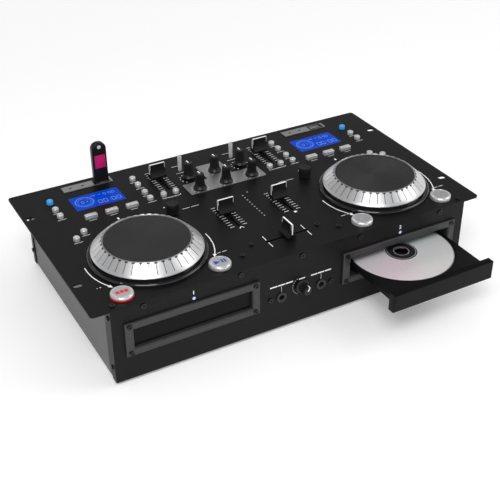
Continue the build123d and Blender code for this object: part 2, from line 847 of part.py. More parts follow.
for (name, side), spot in zip(sides.items(), jog_spots):
    jog_seat = seat_at(spot, 0)
    inner_top = rim_seat_z - rim_wall
    under_top_radius = rim_under_radius - (inner_top - rim_bottom_z) * rim_slope
    jog_rim = turned(
        jog_seat,
        [
            (rim_under_radius, rim_bottom_z),
            (rim_radius, rim_bottom_z),
            (rim_radius, rim_bottom_z + rim_edge_height),
            (rim_top_radius, rim_top_z),
            (platter_radius + platter_side_clearance, rim_top_z),
            (platter_radius + platter_side_clearance, rim_seat_z),
            (ledge_radius, rim_seat_z),
            (ledge_radius, inner_top),
            (under_top_radius, inner_top),
        ],
    )
    save(jog_rim, f"jog_rim_{name}")
    hub_bottom = dish_boss_height + jog_hub_gap
    jog_platter = turned(
        jog_seat,
        [
            (0, -jog_shaft_depth),
            (jog_shaft_radius, -jog_shaft_depth),
            (jog_shaft_radius, hub_bottom),
            (jog_hub_radius, hub_bottom),
            (jog_hub_radius, rim_seat_z),
            (platter_radius, rim_seat_z),
            (platter_radius, rim_seat_z + platter_thickness),
            (0, rim_seat_z + platter_thickness),
        ],
    )
    save(jog_platter, f"jog_platter_{name}")


def push_buttons(spots, size, height, edge, stem_radius):
    # Button caps with a flange under the panel and a stem; size is a radius or (length, depth)
    is_round = not isinstance(size, tuple)
    flange_top = panel_under_z - button_flange_gap
    with BuildPart() as buttons:
        with BuildSketch(level(flange_top)):
            with Locations(*spots):
                if is_round:
                    Circle(size)
                else:
                    Rectangle(*size)
        extrude(amount=height - flange_top)
        fillet(buttons.edges().group_by(Axis.Z)[-1], edge)
        with BuildSketch(level(flange_top)):
            with Locations(*spots):
                if is_round:
                    Circle(size + button_flange)
                else:
                    Rectangle(size[0] + 2 * button_flange, size[1] + 2 * button_flange)
        extrude(amount=-button_flange_height)
        with BuildSketch(level(flange_top)):
            with Locations(*spots):
                Circle(stem_radius)
        extrude(amount=-(button_stem_depth + flange_top))
    return buttons


# Buttons: cue is the left and play the right large button of each deck
large_button_x = {
    "cue_button_left": -large_outer_x,
    "play_button_left": -large_inner_x,
    "cue_button_right": large_inner_x,
    "play_button_right": large_outer_x,
}
for name, x in large_button_x.items():
    large_spot = [from_front(x, large_y)]
    save(push_buttons(large_spot, large_radius, large_height, large_edge, 2 * button_stem_radius), name)
small_sizes = (small_radius, small_height, small_edge, button_stem_radius)
oblong_sizes = ((oblong_length, oblong_depth), small_height, small_edge, button_stem_radius)
for name, side in sides.items():
    outer_spots = [from_front(side * x, y) for x, y in outer_button_places]
    inner_spots = [from_front(side * x, y) for x, y in inner_button_places]
    track_spots = [from_front(side * x, y) for x, y in track_button_places]
    eject_spot = from_front(side * eject_x, eject_y)
    save(push_buttons([eject_spot], *small_sizes), f"eject_button_{name}")
    save(push_buttons(outer_spots, *small_sizes), f"outer_buttons_{name}")
    save(push_buttons(inner_spots, *small_sizes), f"inner_buttons_{name}")
    save(push_buttons(track_spots, *oblong_sizes), f"track_buttons_{name}")


def bell_knob(seat, height):
    # A bell-shaped knob with its pot shaft
    with BuildPart() as knob:
        with BuildSketch(outline_plane(seat.offset(knob_gap))):
            with BuildLine():
                Line((0, 0), (knob_radius, 0))
                Line((knob_radius, 0), (knob_radius, knob_skirt_height))
                waist = (knob_top_radius + (knob_radius - knob_top_radius) * 0.3, height * 0.38)
                ThreePointArc((knob_radius, knob_skirt_height), waist, (knob_top_radius, height - 1))
                Line((knob_top_radius, height - 1), (knob_top_radius - 1, height))
                Line((knob_top_radius - 1, height), (0, height))
                Line((0, height), (0, 0))
            make_face()
        revolve(axis=Axis(seat.origin, seat.z_dir))
        with BuildSketch(seat.offset(knob_gap)):
            Circle(shaft_radius)
        extrude(amount=-(shaft_depth + knob_gap))
    return knob


for name, spot in knob_spots.items():
    save(bell_knob(seat_at(spot, 0), knob_height), name)
mix_knob_seat = Plane(origin=(0, front_face_y, -mix_knob_drop), x_dir=(1, 0, 0), z_dir=(0, -1, 0))
save(bell_knob(mix_knob_seat, mix_knob_height), "cue_mix_knob")

# Encoder knobs: plain drums
for name, spot in zip(sides, encoder_spots):
    with BuildPart() as encoder_knob:
        with BuildSketch(level(knob_gap)):
            with Locations(spot):
                Circle(encoder_radius)
        extrude(amount=encoder_height)
        chamfer(encoder_knob.edges().group_by(Axis.Z)[-1], small_edge)
        with BuildSketch(level(knob_gap)):
            with Locations(spot):
                Circle(shaft_radius)
        extrude(amount=-(shaft_depth + knob_gap))
    save(encoder_knob, f"encoder_knob_{name}")

# Toggle switches: flat upright levers with a round pivot inside the switch
for name, spot in zip(sides, toggle_spots):
    with BuildPart() as toggle:
        with BuildSketch(Plane(origin=(spot[0], spot[1], 0), x_dir=(1, 0, 0), z_dir=(0, -1, 0))):
            with Locations((0, (toggle_pivot_z + toggle_height) / 2)):
                Rectangle(toggle_width, toggle_height - toggle_pivot_z)
        extrude(amount=toggle_thickness / 2, both=True)
        fillet(toggle.edges().filter_by(Axis.Y).group_by(Axis.Z)[-1], toggle_thickness)
        with BuildSketch(Plane.YZ.offset(spot[0])):
            with Locations((spot[1], toggle_pivot_z)):
                Circle(toggle_pivot_radius)
        extrude(amount=toggle_width / 2, both=True)
    save(toggle, f"toggle_switch_{name}")


def fader(plane, rest):
    # A fader cap with its lever; the plane's X is the way it slides
    with BuildPart() as cap:
        with BuildSketch(plane):
            with BuildLine():
                foot_top = fader_cap_gap + fader_cap_foot
                half_depth = fader_cap_depth / 2
                half_ridge = fader_ridge / 2
                waist = ((half_depth + 3 * half_ridge) / 4, (foot_top + fader_cap_top) / 2)
                Line((rest - half_depth, fader_cap_gap), (rest + half_depth, fader_cap_gap))
                Line((rest + half_depth, fader_cap_gap), (rest + half_depth, foot_top))
                ThreePointArc(
                    (rest + half_depth, foot_top),
                    (rest + waist[0], waist[1]),
                    (rest + half_ridge, fader_cap_top),
                )
                Line((rest + half_ridge, fader_cap_top), (rest - half_ridge, fader_cap_top))
                ThreePointArc(
                    (rest - half_ridge, fader_cap_top),
                    (rest - waist[0], waist[1]),
                    (rest - half_depth, foot_top),
                )
                Line((rest - half_depth, foot_top), (rest - half_depth, fader_cap_gap))
            make_face()
        extrude(amount=fader_cap_width / 2, both=True)
        with BuildSketch(plane):
            with Locations((rest, (fader_cap_gap - fader_lever_depth) / 2)):
                Rectangle(fader_lever_length, fader_cap_gap + fader_lever_depth)
        extrude(amount=fader_lever_width / 2, both=True)
    return cap


fader_rest = {"channel": channel_fader_rest, "pitch": pitch_fader_rest}
for name, spot in straight_faders.items():
    slide_plane = Plane(origin=(spot[0], spot[1], 0), x_dir=(0, 1, 0), z_dir=(1, 0, 0))
    save(fader(slide_plane, fader_rest[name.split("_")[0]]), name)
cross_plane = Plane(origin=(cross_fader_spot[0], cross_fader_spot[1], 0), x_dir=(1, 0, 0), z_dir=(0, -1, 0))
save(fader(cross_plane, cross_fader_rest), "cross_fader")

# Control board with studs, pots, faders, switches and memory stick sockets
with BuildPart() as control_board:
    with BuildSketch(level(board_top_z)):
        with Locations(from_front(0, board_y)):
            Rectangle(board_width, board_depth)
    extrude(amount=-board_thickness)
    with BuildSketch(level(board_top_z)):
        with Locations(*stud_spots):
            Circle(stud_radius)
            Circle(screw_hole_radius, mode=Mode.SUBTRACT)
    extrude(amount=board_gap)
    with BuildSketch(level(body_bottom_z)):
        with Locations(*knob_spots.values(), *encoder_spots):
            Circle(pot_radius)
    extrude(amount=panel_under_z - body_bottom_z)
    with BuildSketch(level(panel_under_z)):
        with Locations(*knob_spots.values(), *encoder_spots):
            Circle(shaft_hole_radius)
    extrude(amount=panel_thickness - shaft_depth - running_clearance * 2, mode=Mode.SUBTRACT)
    with BuildSketch(level(body_bottom_z)):
        with Locations(*straight_faders.values()):
            Rectangle(fader_body_width, fader_body_length)
        with Locations(cross_fader_spot):
            Rectangle(fader_body_length, fader_body_width)
    extrude(amount=panel_under_z - body_bottom_z)
    with BuildSketch(level(panel_under_z)):
        with Locations(*straight_faders.values()):
            SlotOverall(fader_slot_length, fader_slot_width, rotation=90)
        with Locations(cross_fader_spot):
            SlotOverall(fader_slot_length, fader_slot_width)
    extrude(amount=body_bottom_z + fader_body_floor - panel_under_z, mode=Mode.SUBTRACT)
    with BuildSketch(level(body_bottom_z)):
        with Locations(*toggle_spots):
            Rectangle(toggle_body_width, toggle_body_depth)
    extrude(amount=panel_under_z - body_bottom_z)
    for spot in toggle_spots:
        with BuildSketch(Plane.YZ.offset(spot[0])):
            with Locations((spot[1], toggle_pivot_z)):
                Circle(toggle_pivot_radius + running_clearance)
            with Locations((spot[1], panel_under_z)):
                Rectangle(toggle_slot, 2 * toggle_pivot_radius)
        extrude(amount=toggle_width / 2 + running_clearance, both=True, mode=Mode.SUBTRACT)
    with BuildSketch(level(body_bottom_z)):
        with Locations(*round_button_spots, *track_button_spots):
            Rectangle(switch_width, switch_width)
    extrude(amount=-button_stem_depth - button_travel - switch_gap - body_bottom_z)
    with BuildSketch(level(body_bottom_z)):
        with Locations(*large_button_spots):
            Rectangle(switch_width, switch_width)
    extrude(amount=-button_stem_depth - large_travel - switch_gap - body_bottom_z)
    with BuildSketch(level(body_bottom_z)):
        with Locations(*socket_spots):
            Rectangle(socket_width, socket_depth)
    extrude(amount=-body_bottom_z)
    with BuildSketch(level(0)):
        with Locations(*socket_spots):
            Rectangle(socket_width - 2 * socket_wall, socket_depth - 2 * socket_wall)
    extrude(amount=body_bottom_z + socket_floor, mode=Mode.SUBTRACT)
    tongue_y = socket_depth / 2 - socket_wall - tongue_thickness / 2 - plug_wall
    with BuildSketch(level(body_bottom_z)):
        for spot in socket_spots:
            with Locations((spot[0], spot[1] + tongue_y)):
                Rectangle(tongue_width, tongue_thickness)
    extrude(amount=-tongue_drop - body_bottom_z)
save(control_board, "control_board")

# Brushed plates: one by each memory stick socket and the T-shaped mixer plate
tab_depth = mixer_tab_back_y - mixer_plate_y + mixer_plate_depth / 2
with BuildPart() as brushed_plates:
    with BuildSketch(level(0)):
        for x in usb_plate_x.values():
            with Locations(from_front(x, usb_plate_y)):
                RectangleRounded(usb_plate_width, usb_plate_depth, small_edge)
            with Locations(from_front(x + usb_port_shift, usb_plate_y)):
                RectangleRounded(port_window_width, port_window_depth, small_edge, mode=Mode.SUBTRACT)
            for shift in usb_hole_shifts:
                with Locations(from_front(x + shift, usb_plate_y)):
                    Circle(usb_hole_radius, mode=Mode.SUBTRACT)
        with Locations(from_front(0, mixer_plate_y)):
            RectangleRounded(mixer_plate_width, mixer_plate_depth, mixer_plate_corner)
        with Locations(from_front(0, mixer_tab_back_y - tab_depth / 2)):
            RectangleRounded(mixer_tab_width, tab_depth, mixer_plate_corner)
        with Locations(*knob_spots.values()):
            Circle(shaft_radius + 2 * button_clearance, mode=Mode.SUBTRACT)
    extrude(amount=plate_thickness)
save(brushed_plates, "brushed_plates")

# Displays: a window flush in the panel and the module behind it
with BuildPart() as display_windows:
    with BuildSketch(level(0)):
        with Locations(*display_spots):
            Rectangle(display_width - 2 * display_clearance, display_depth - 2 * display_clearance)
    extrude(amount=panel_under_z)
    with BuildSketch(level(panel_under_z)):
        with Locations(*display_spots):
            Rectangle(display_width + 2 * display_rim, display_depth + 2 * display_rim)
    extrude(amount=-display_module_height)
save(display_windows, "display_windows")

# Memory stick in the left socket
stick_spot = socket_spots[0]
stick_bottom_z = plate_thickness + stick_gap
with BuildPart() as memory_stick:
    with BuildSketch(Plane(origin=(stick_spot[0], stick_spot[1], 0), x_dir=(1, 0, 0), z_dir=(0, -1, 0))):
        with Locations((0, stick_bottom_z + stick_length / 2)):
            Rectangle(stick_width, stick_length)
    extrude(amount=stick_thickness / 2, both=True)
    fillet(memory_stick.edges().filter_by(Axis.Y).group_by(Axis.Z)[-1], stick_corner)
    with BuildSketch(facing_front(stick_spot[1])):
        with Locations((stick_spot[0], stick_bottom_z + stick_length - stick_hole_from_top)):
            Circle(stick_hole_radius)
    extrude(amount=stick_thickness, both=True, mode=Mode.SUBTRACT)
    with BuildSketch(level(stick_bottom_z)):
        with Locations(stick_spot):
            Rectangle(plug_width, plug_depth)
    extrude(amount=-plug_length)
    with BuildSketch(level(stick_bottom_z - plug_length)):
        with Locations((stick_spot[0], stick_spot[1] + tongue_y)):
            Rectangle(plug_width - 2 * plug_wall, tongue_thickness + 2 * button_clearance)
    extrude(amount=plug_length, mode=Mode.SUBTRACT)
save(memory_stick, "memory_stick")

# Indicator lights: the level meter, the power light and one over each tray
with BuildPart() as indicator_lights:
    with BuildSketch(level(-panel_lip_height / 2)):
        with Locations(meter_spot):
            with GridLocations(0, meter_spacing, 1, meter_count):
                Circle(meter_led_radius)
        with Locations(power_led_spot):
            Circle(meter_led_radius)
    extrude(amount=panel_lip_height / 2 + meter_led_clearance)
    for side in sides.values():
        with BuildSketch(facing_front(front_face_y - front_led_radius / 2)):
            with Locations((side * front_led_x, -front_led_drop)):
                Circle(front_led_radius)
        extrude(amount=-front_led_length)
save(indicator_lights, "indicator_lights")

# Front jack board: two headphone jacks, the pot between them and two posts
board_back_y = front_inner_y + jack_board_setback
with BuildPart() as jack_board:
    with BuildSketch(facing_front(board_back_y)):
        with Locations((0, front_row_z)):
            Rectangle(jack_board_width, jack_board_height)
    extrude(amount=-board_thickness)
    with BuildSketch(facing_front(front_inner_y)):
        with Locations((-jack_x, front_row_z), (jack_x, front_row_z)):
            Rectangle(jack_body_width, jack_body_width)
    extrude(amount=-(jack_depth - sheet + jack_wall))
    with BuildSketch(facing_front(front_inner_y)):
        with Locations((-jack_x, front_row_z), (jack_x, front_row_z)):
            Circle(jack_bushing_radius - led_clearance)
    extrude(amount=sheet + jack_bushing_proud)
    with BuildSketch(facing_front(front_face_y - jack_bushing_proud)):
        with Locations((-jack_x, front_row_z), (jack_x, front_row_z)):
            Circle(jack_bore_radius)
    extrude(amount=-(jack_depth + jack_bushing_proud), mode=Mode.SUBTRACT)
    with BuildSketch(facing_front(front_inner_y)):
        with Locations((0, -mix_knob_drop)):
            Circle(pot_radius)
        with Locations((-jack_post_x, front_row_z), (jack_post_x, front_row_z)):
            Circle(stud_radius)
    extrude(amount=-jack_board_setback)
    with BuildSketch(facing_front(front_inner_y)):
        with Locations((0, -mix_knob_drop)):
            Circle(shaft_hole_radius)
        with Locations((-jack_post_x, front_row_z), (jack_post_x, front_row_z)):
            Circle(screw_hole_radius)
    extrude(amount=-(shaft_depth - sheet + running_clearance), mode=Mode.SUBTRACT)
save(jack_board, "jack_board")

# Phono sockets in two rows on one board
phono_last_z = phono_spots[-1][1]
with BuildPart() as phono_sockets:
    with BuildSketch(facing_front(rear_inner_y - phono_board_gap)):
        with Locations((phono_x, (phono_spots[0][1] + phono_last_z) / 2)):
            Rectangle(phono_pitch_x * phono_columns, phono_pitch_z * 2)
    extrude(amount=board_thickness)
    with BuildSketch(facing_front(rear_inner_y)):
        with Locations(*phono_spots):
            Circle(phono_collar_radius)
    extrude(amount=phono_board_gap)
    with BuildSketch(facing_front(rear_inner_y)):
        with Locations(*phono_spots):
            Circle(phono_neck_radius)
    extrude(amount=-(sheet + phono_neck_length))
    with BuildSketch(facing_front(rear_face_y + phono_neck_length)):
        with Locations(*phono_spots):
            Circle(phono_shell_radius)
    extrude(amount=-phono_shell_length)
    with BuildSketch(facing_front(rear_face_y + phono_neck_length + phono_shell_length)):
        with Locations(*phono_spots):
            Circle(phono_bore_radius)
    extrude(amount=phono_shell_length, mode=Mode.SUBTRACT)
save(phono_sockets, "phono_sockets")

# Mains inlet with the frame of the power switch above it
module_front = facing_front(rear_face_y + inlet_flange)
cavity_width = inlet_width - 2 * inlet_wall
cavity_height = inlet_height - 2 * inlet_wall
rocker_hole = (rocker_height + 2 * rocker_clearance, rocker_width + 2 * rocker_clearance)
pin_root_y = rear_face_y - inlet_depth + inlet_wall
with BuildPart() as mains_inlet:
    with BuildSketch(facing_front(rear_face_y)):
        with Locations((inlet_x, module_mid_z)):
            Rectangle(module_width + 2 * inlet_flange, module_height + 2 * inlet_flange)
    extrude(amount=-inlet_flange)
    with BuildSketch(facing_front(rear_face_y)):
        with Locations((inlet_x, module_mid_z)):
            Rectangle(module_width, module_height)
    extrude(amount=inlet_depth)
    with BuildSketch(module_front):
        with Locations((inlet_x, inlet_z)):
            Rectangle(cavity_width, cavity_height)
        with Locations((inlet_x, rocker_z)):
            Rectangle(*rocker_hole)
    extrude(amount=inlet_depth + inlet_flange - inlet_wall, mode=Mode.SUBTRACT)
    with BuildSketch(facing_front(pin_root_y)):
        for shift in (-inlet_pin_spacing / 2, inlet_pin_spacing / 2):
            with Locations((inlet_x + shift, inlet_z - inlet_pin_thickness)):
                Rectangle(inlet_pin_thickness, inlet_pin_width)
        with Locations((inlet_x, inlet_z + inlet_pin_width)):
            Rectangle(inlet_pin_thickness, inlet_pin_width)
    extrude(amount=-(inlet_depth - 2 * inlet_wall))
    rocker_pivot_y = rear_face_y + inlet_flange - rocker_depth / 2
    with BuildSketch(Plane.YZ.offset(inlet_x)):
        with Locations((rocker_pivot_y, rocker_z)):
            Circle(rod_radius)
    extrude(amount=rocker_hole[0] / 2 + running_clearance, both=True)
save(mains_inlet, "mains_inlet")

# Rocker of the power switch, tilted to one of its two rests
rocker_out = Vector(0, 1, 0).rotate(Axis.X, rocker_tilt)
rocker_plane = Plane(origin=(inlet_x, rocker_pivot_y, rocker_z), x_dir=rocker_out, z_dir=(1, 0, 0))
with BuildPart() as power_switch:
    with BuildSketch(rocker_plane):
        Rectangle(rocker_depth, rocker_width)
        Circle(rod_radius + running_clearance, mode=Mode.SUBTRACT)
    extrude(amount=rocker_height / 2, both=True)
save(power_switch, "power_switch")

# Power supply board with its transformer and capacitors
supply_board_z = floor_top_z + supply_standoff
with BuildPart() as power_supply:
    with BuildSketch(level(supply_board_z)):
        with Locations(from_front(supply_x, supply_y)):
            Rectangle(supply_width, supply_depth)
    extrude(amount=board_thickness)
    with BuildSketch(level(floor_top_z)):
        with Locations(from_front(supply_x, supply_y)):
            with GridLocations(supply_width - 4 * stud_radius, supply_depth - 4 * stud_radius, 2, 2):
                Circle(stud_radius)
    extrude(amount=supply_standoff)
    with BuildSketch(level(supply_board_z + board_thickness)):
        with Locations(from_front(supply_x - supply_width / 4, supply_y)):
            Rectangle(transformer_width, transformer_depth)
    extrude(amount=transformer_height)
    with BuildSketch(level(supply_board_z + board_thickness)):
        with Locations(from_front(supply_x + supply_width / 8, supply_y)):
            with GridLocations(0, 3 * capacitor_radius, 1, 2):
                Circle(capacitor_radius)
    extrude(amount=capacitor_height)
save(power_supply, "power_supply")
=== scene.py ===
from math import atan2, cos, degrees, hypot, pi, radians, sin

import bmesh
import bpy
from mathutils import Matrix, Vector


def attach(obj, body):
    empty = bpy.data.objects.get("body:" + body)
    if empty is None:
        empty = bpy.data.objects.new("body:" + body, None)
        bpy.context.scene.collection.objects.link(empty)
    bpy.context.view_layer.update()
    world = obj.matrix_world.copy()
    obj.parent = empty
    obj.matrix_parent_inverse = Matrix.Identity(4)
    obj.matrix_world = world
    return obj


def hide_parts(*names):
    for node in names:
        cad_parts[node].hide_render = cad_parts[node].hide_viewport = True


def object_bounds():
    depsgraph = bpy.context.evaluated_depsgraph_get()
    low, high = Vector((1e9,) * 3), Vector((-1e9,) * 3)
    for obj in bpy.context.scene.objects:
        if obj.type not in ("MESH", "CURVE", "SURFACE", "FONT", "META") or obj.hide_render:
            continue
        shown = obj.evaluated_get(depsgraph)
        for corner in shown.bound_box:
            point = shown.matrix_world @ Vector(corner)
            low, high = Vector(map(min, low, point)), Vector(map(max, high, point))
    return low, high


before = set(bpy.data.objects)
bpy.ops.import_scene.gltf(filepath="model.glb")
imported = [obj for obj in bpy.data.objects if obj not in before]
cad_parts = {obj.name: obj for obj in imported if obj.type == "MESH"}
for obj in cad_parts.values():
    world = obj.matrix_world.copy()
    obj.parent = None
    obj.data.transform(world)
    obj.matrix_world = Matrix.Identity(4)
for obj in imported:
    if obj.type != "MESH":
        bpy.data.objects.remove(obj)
cadBox = [list(corner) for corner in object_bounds()]
print("frame loaded:", len(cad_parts), "nodes")

# lengths below are in millimetres, from the middle of the top panel's upper face
mm = 0.001
panelFront = -132.0
faceFront = -131.0
faceRear = 129.5
fullTurn = 2 * pi
creaseAngle = radians(35)
sides = {"left": -1, "right": 1}


def addObject(name, data):
    item = bpy.data.objects.new(name, data)
    bpy.context.scene.collection.objects.link(item)
    return item


# camera fitted to the photograph
camera = {"place": (-0.4681, -0.8580, 0.5621), "yaw": 29.06, "tilt": 33.04, "roll": -0.14, "lens": 69.43}
cameraData = bpy.data.cameras.new("camera")
cameraData.lens = camera["lens"]
cameraData.sensor_width = 36
cameraData.clip_end = 20
cameraObject = addObject("camera", cameraData)
cameraTurn = Matrix.Rotation(radians(-camera["yaw"]), 4, "Z")
cameraTurn @= Matrix.Rotation(radians(90 - camera["tilt"]), 4, "X")
cameraTurn @= Matrix.Rotation(radians(camera["roll"]), 4, "Z")
cameraObject.matrix_world = Matrix.Translation(camera["place"]) @ cameraTurn
bpy.context.scene.camera = cameraObject
print("camera set")


# ---------- shapes ----------
def setNormals(shape):
    bmesh.ops.recalc_face_normals(shape, faces=shape.faces[:])


def pushOut(shape, faces):
    # extrudes the faces where they are and gives the corners of the new ones
    grown = bmesh.ops.extrude_face_region(shape, geom=faces)
    return [item for item in grown["geom"] if isinstance(item, bmesh.types.BMVert)]


def turned(profile, steps=64):
    # full turn of a profile of (radius, height) points about Z
    shape = bmesh.new()
    chain = [shape.verts.new((r * mm, 0, z * mm)) for r, z in profile]
    for start, end in zip(chain, chain[1:]):
        shape.edges.new((start, end))
    geom = shape.verts[:] + shape.edges[:]
    bmesh.ops.spin(shape, geom=geom, cent=(0, 0, 0), axis=(0, 0, 1), angle=fullTurn, steps=steps,
                   use_merge=True)
    bmesh.ops.remove_doubles(shape, verts=shape.verts[:], dist=1e-6)
    setNormals(shape)
    return shape


def block(size, edge=0.0, segments=2):
    # a box, with all its edges rounded when an edge width is given
    shape = bmesh.new()
    bmesh.ops.create_cube(shape, size=1)
    bmesh.ops.scale(shape, vec=Vector(size) * mm, verts=shape.verts[:])
    if edge:
        roundEdges(shape, shape.edges[:], edge, segments)
    return shape


def roundEdges(shape, edges, width, segments=2):
    bmesh.ops.bevel(shape, geom=edges, offset=width * mm, offset_type="OFFSET", segments=segments,
                    profile=0.5, affect="EDGES", clamp_overlap=True, material=-1)


def framed(loops):
    # rectangular loops of (width, height, depth), bridged one to the next and back to the first
    shape = bmesh.new()
    rings = []
    for width, height, depth in loops:
        x, z = width / 2 * mm, height / 2 * mm
        corners = [shape.verts.new((u, depth * mm, v)) for u, v in ((-x, -z), (x, -z), (x, z), (-x, z))]
        rings.append([shape.edges.new((corners[i], corners[(i + 1) % 4])) for i in range(4)])
    for near, far in zip(rings, rings[1:] + rings[:1]):
        bmesh.ops.bridge_loops(shape, edges=near + far)
    setNormals(shape)
    return shape


def outlined(points, depth):
    # a flat outline in the XZ plane, pushed along Y by its depth and centred on it
    shape = bmesh.new()
    corners = [shape.verts.new((x * mm, -depth / 2 * mm, z * mm)) for x, z in points]
    face = shape.faces.new(corners)
    bmesh.ops.translate(shape, vec=(0, depth * mm, 0), verts=pushOut(shape, [face]))
    setNormals(shape)
    return shape


def roundRims(shape, width, segments):
    # rounds the edges of both flat faces of such an outline
    rims = [edge for edge in shape.edges if abs(edge.verts[0].co.y - edge.verts[1].co.y) < 1e-6]
    roundEdges(shape, rims, width, segments)


def put(target, shape, place=(0, 0, 0), turn=None, material=0):
    # moves a shape to its place and joins it to the piece
    for face in shape.faces:
        face.material_index = material
    putAsIs(target, shape, place, turn)


def putAsIs(target, shape, place=(0, 0, 0), turn=None):
    # the same for a shape whose faces have their materials already
    matrix = Matrix.Translation(Vector(place) * mm)
    if turn is not None:
        matrix = matrix @ turn
    shape.transform(matrix)
    mesh = bpy.data.meshes.new("part")
    shape.to_mesh(mesh)
    shape.free()
    target.from_mesh(mesh)
    bpy.data.meshes.remove(mesh)


def addPiece(name, shape, body, finishes, replaced=()):
    mesh = bpy.data.meshes.new(name)
    shape.to_mesh(mesh)
    shape.free()
    for finishName in finishes:
        mesh.materials.append(finish[finishName])
    mesh.shade_smooth()
    mesh.set_sharp_from_angle(angle=creaseAngle)
    piece = addObject(name, mesh)
    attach(piece, body)
    if replaced:
        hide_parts(*replaced)


def fromFront(x, y, z=0.0):
    # a place measured from the front edge of the panel
    return (x, panelFront + y, z)


def spun(angle, axis="Z"):
    return Matrix.Rotation(radians(angle), 4, axis)


# ---------- materials ----------
reliefDepth, coatRough = 0.00006, 0.06


def wire(tree, node, inputs):
    # each input gets a plain value, another node's output or, for a whole node, its first output
    for key, value in inputs.items():
        if isinstance(value, bpy.types.Node):
            value = value.outputs[0]
        if isinstance(value, bpy.types.NodeSocket):
            tree.links.new(value, node.inputs[key])
        else:
            node.inputs[key].default_value = value


def addNode(tree, kind, inputs=None, **settings):
    node = tree.nodes.new("ShaderNode" + kind)
    for key, value in settings.items():
        setattr(node, key, value)
    wire(tree, node, inputs or {})
    return node


def shaderOf(material):
    return material.node_tree.nodes["Principled BSDF"]


def placeIn(tree):
    # a point's place in the frame of its piece
    return addNode(tree, "TexCoord").outputs["Object"]


def setStops(ramp, stops):
    elements = ramp.color_ramp.elements
    for spot, color in stops[1:-1]:
        elements.new(spot)
    for element, (spot, color) in zip(elements, stops):
        element.position = spot
        element.color = (*color, 1)


def surface(name, color, rough, metal, grain, bump, vary, spread=0.06, stretch=(1, 1, 1), specular=0.5,
            coat=0.0, edge=0.0, glow=None, glowPower=0.0):
    # a finish with fine grain in its colour, gloss and relief
    material = bpy.data.materials.new(name)
    material.use_nodes = True
    tree = material.node_tree
    mapping = addNode(tree, "Mapping", {"Vector": placeIn(tree), "Scale": stretch})
    speckle = addNode(tree, "TexNoise", {"Vector": mapping, "Scale": grain, "Detail": 3.0})
    darker = [c * (1 - vary) for c in color] + [1]
    lighter = [min(1, c * (1 + vary)) for c in color] + [1]
    tint = addNode(tree, "Mix", data_type="RGBA")
    wire(tree, tint, {"A": darker, "B": lighter, "Factor": speckle})
    gloss = addNode(tree, "MapRange", {"Value": speckle, "To Min": max(0.02, rough - spread),
                                       "To Max": min(1.0, rough + spread)})
    relief = addNode(tree, "Bump", {"Height": speckle, "Strength": bump, "Distance": reliefDepth})
    if edge:
        soft = addNode(tree, "Bevel", {"Radius": edge * mm}, samples=4)
        wire(tree, relief, {"Normal": soft})
    wire(tree, shaderOf(material), {
        "Base Color": tint.outputs["Result"], "Roughness": gloss, "Metallic": metal,
        "Normal": relief, "Specular IOR Level": specular, "Coat Weight": coat,
        "Coat Roughness": coatRough,
    })
    if glow:
        wire(tree, shaderOf(material), {"Emission Color": (*glow, 1), "Emission Strength": glowPower})
    return material


def ringed(material, amount, center):
    # highlights of a face that was turned on a lathe about an upright line through the centre
    tree = material.node_tree
    away = addNode(tree, "VectorMath", {0: placeIn(tree), 1: Vector(center) * mm}, operation="SUBTRACT")
    around = addNode(tree, "VectorMath", {0: (0, 0, 1), 1: away}, operation="CROSS_PRODUCT")
    inWorld = addNode(tree, "VectorTransform", {"Vector": around}, vector_type="VECTOR",
                      convert_from="OBJECT", convert_to="WORLD")
    unit = addNode(tree, "VectorMath", {0: inWorld}, operation="NORMALIZE")
    wire(tree, shaderOf(material), {"Anisotropic": amount, "Tangent": unit})


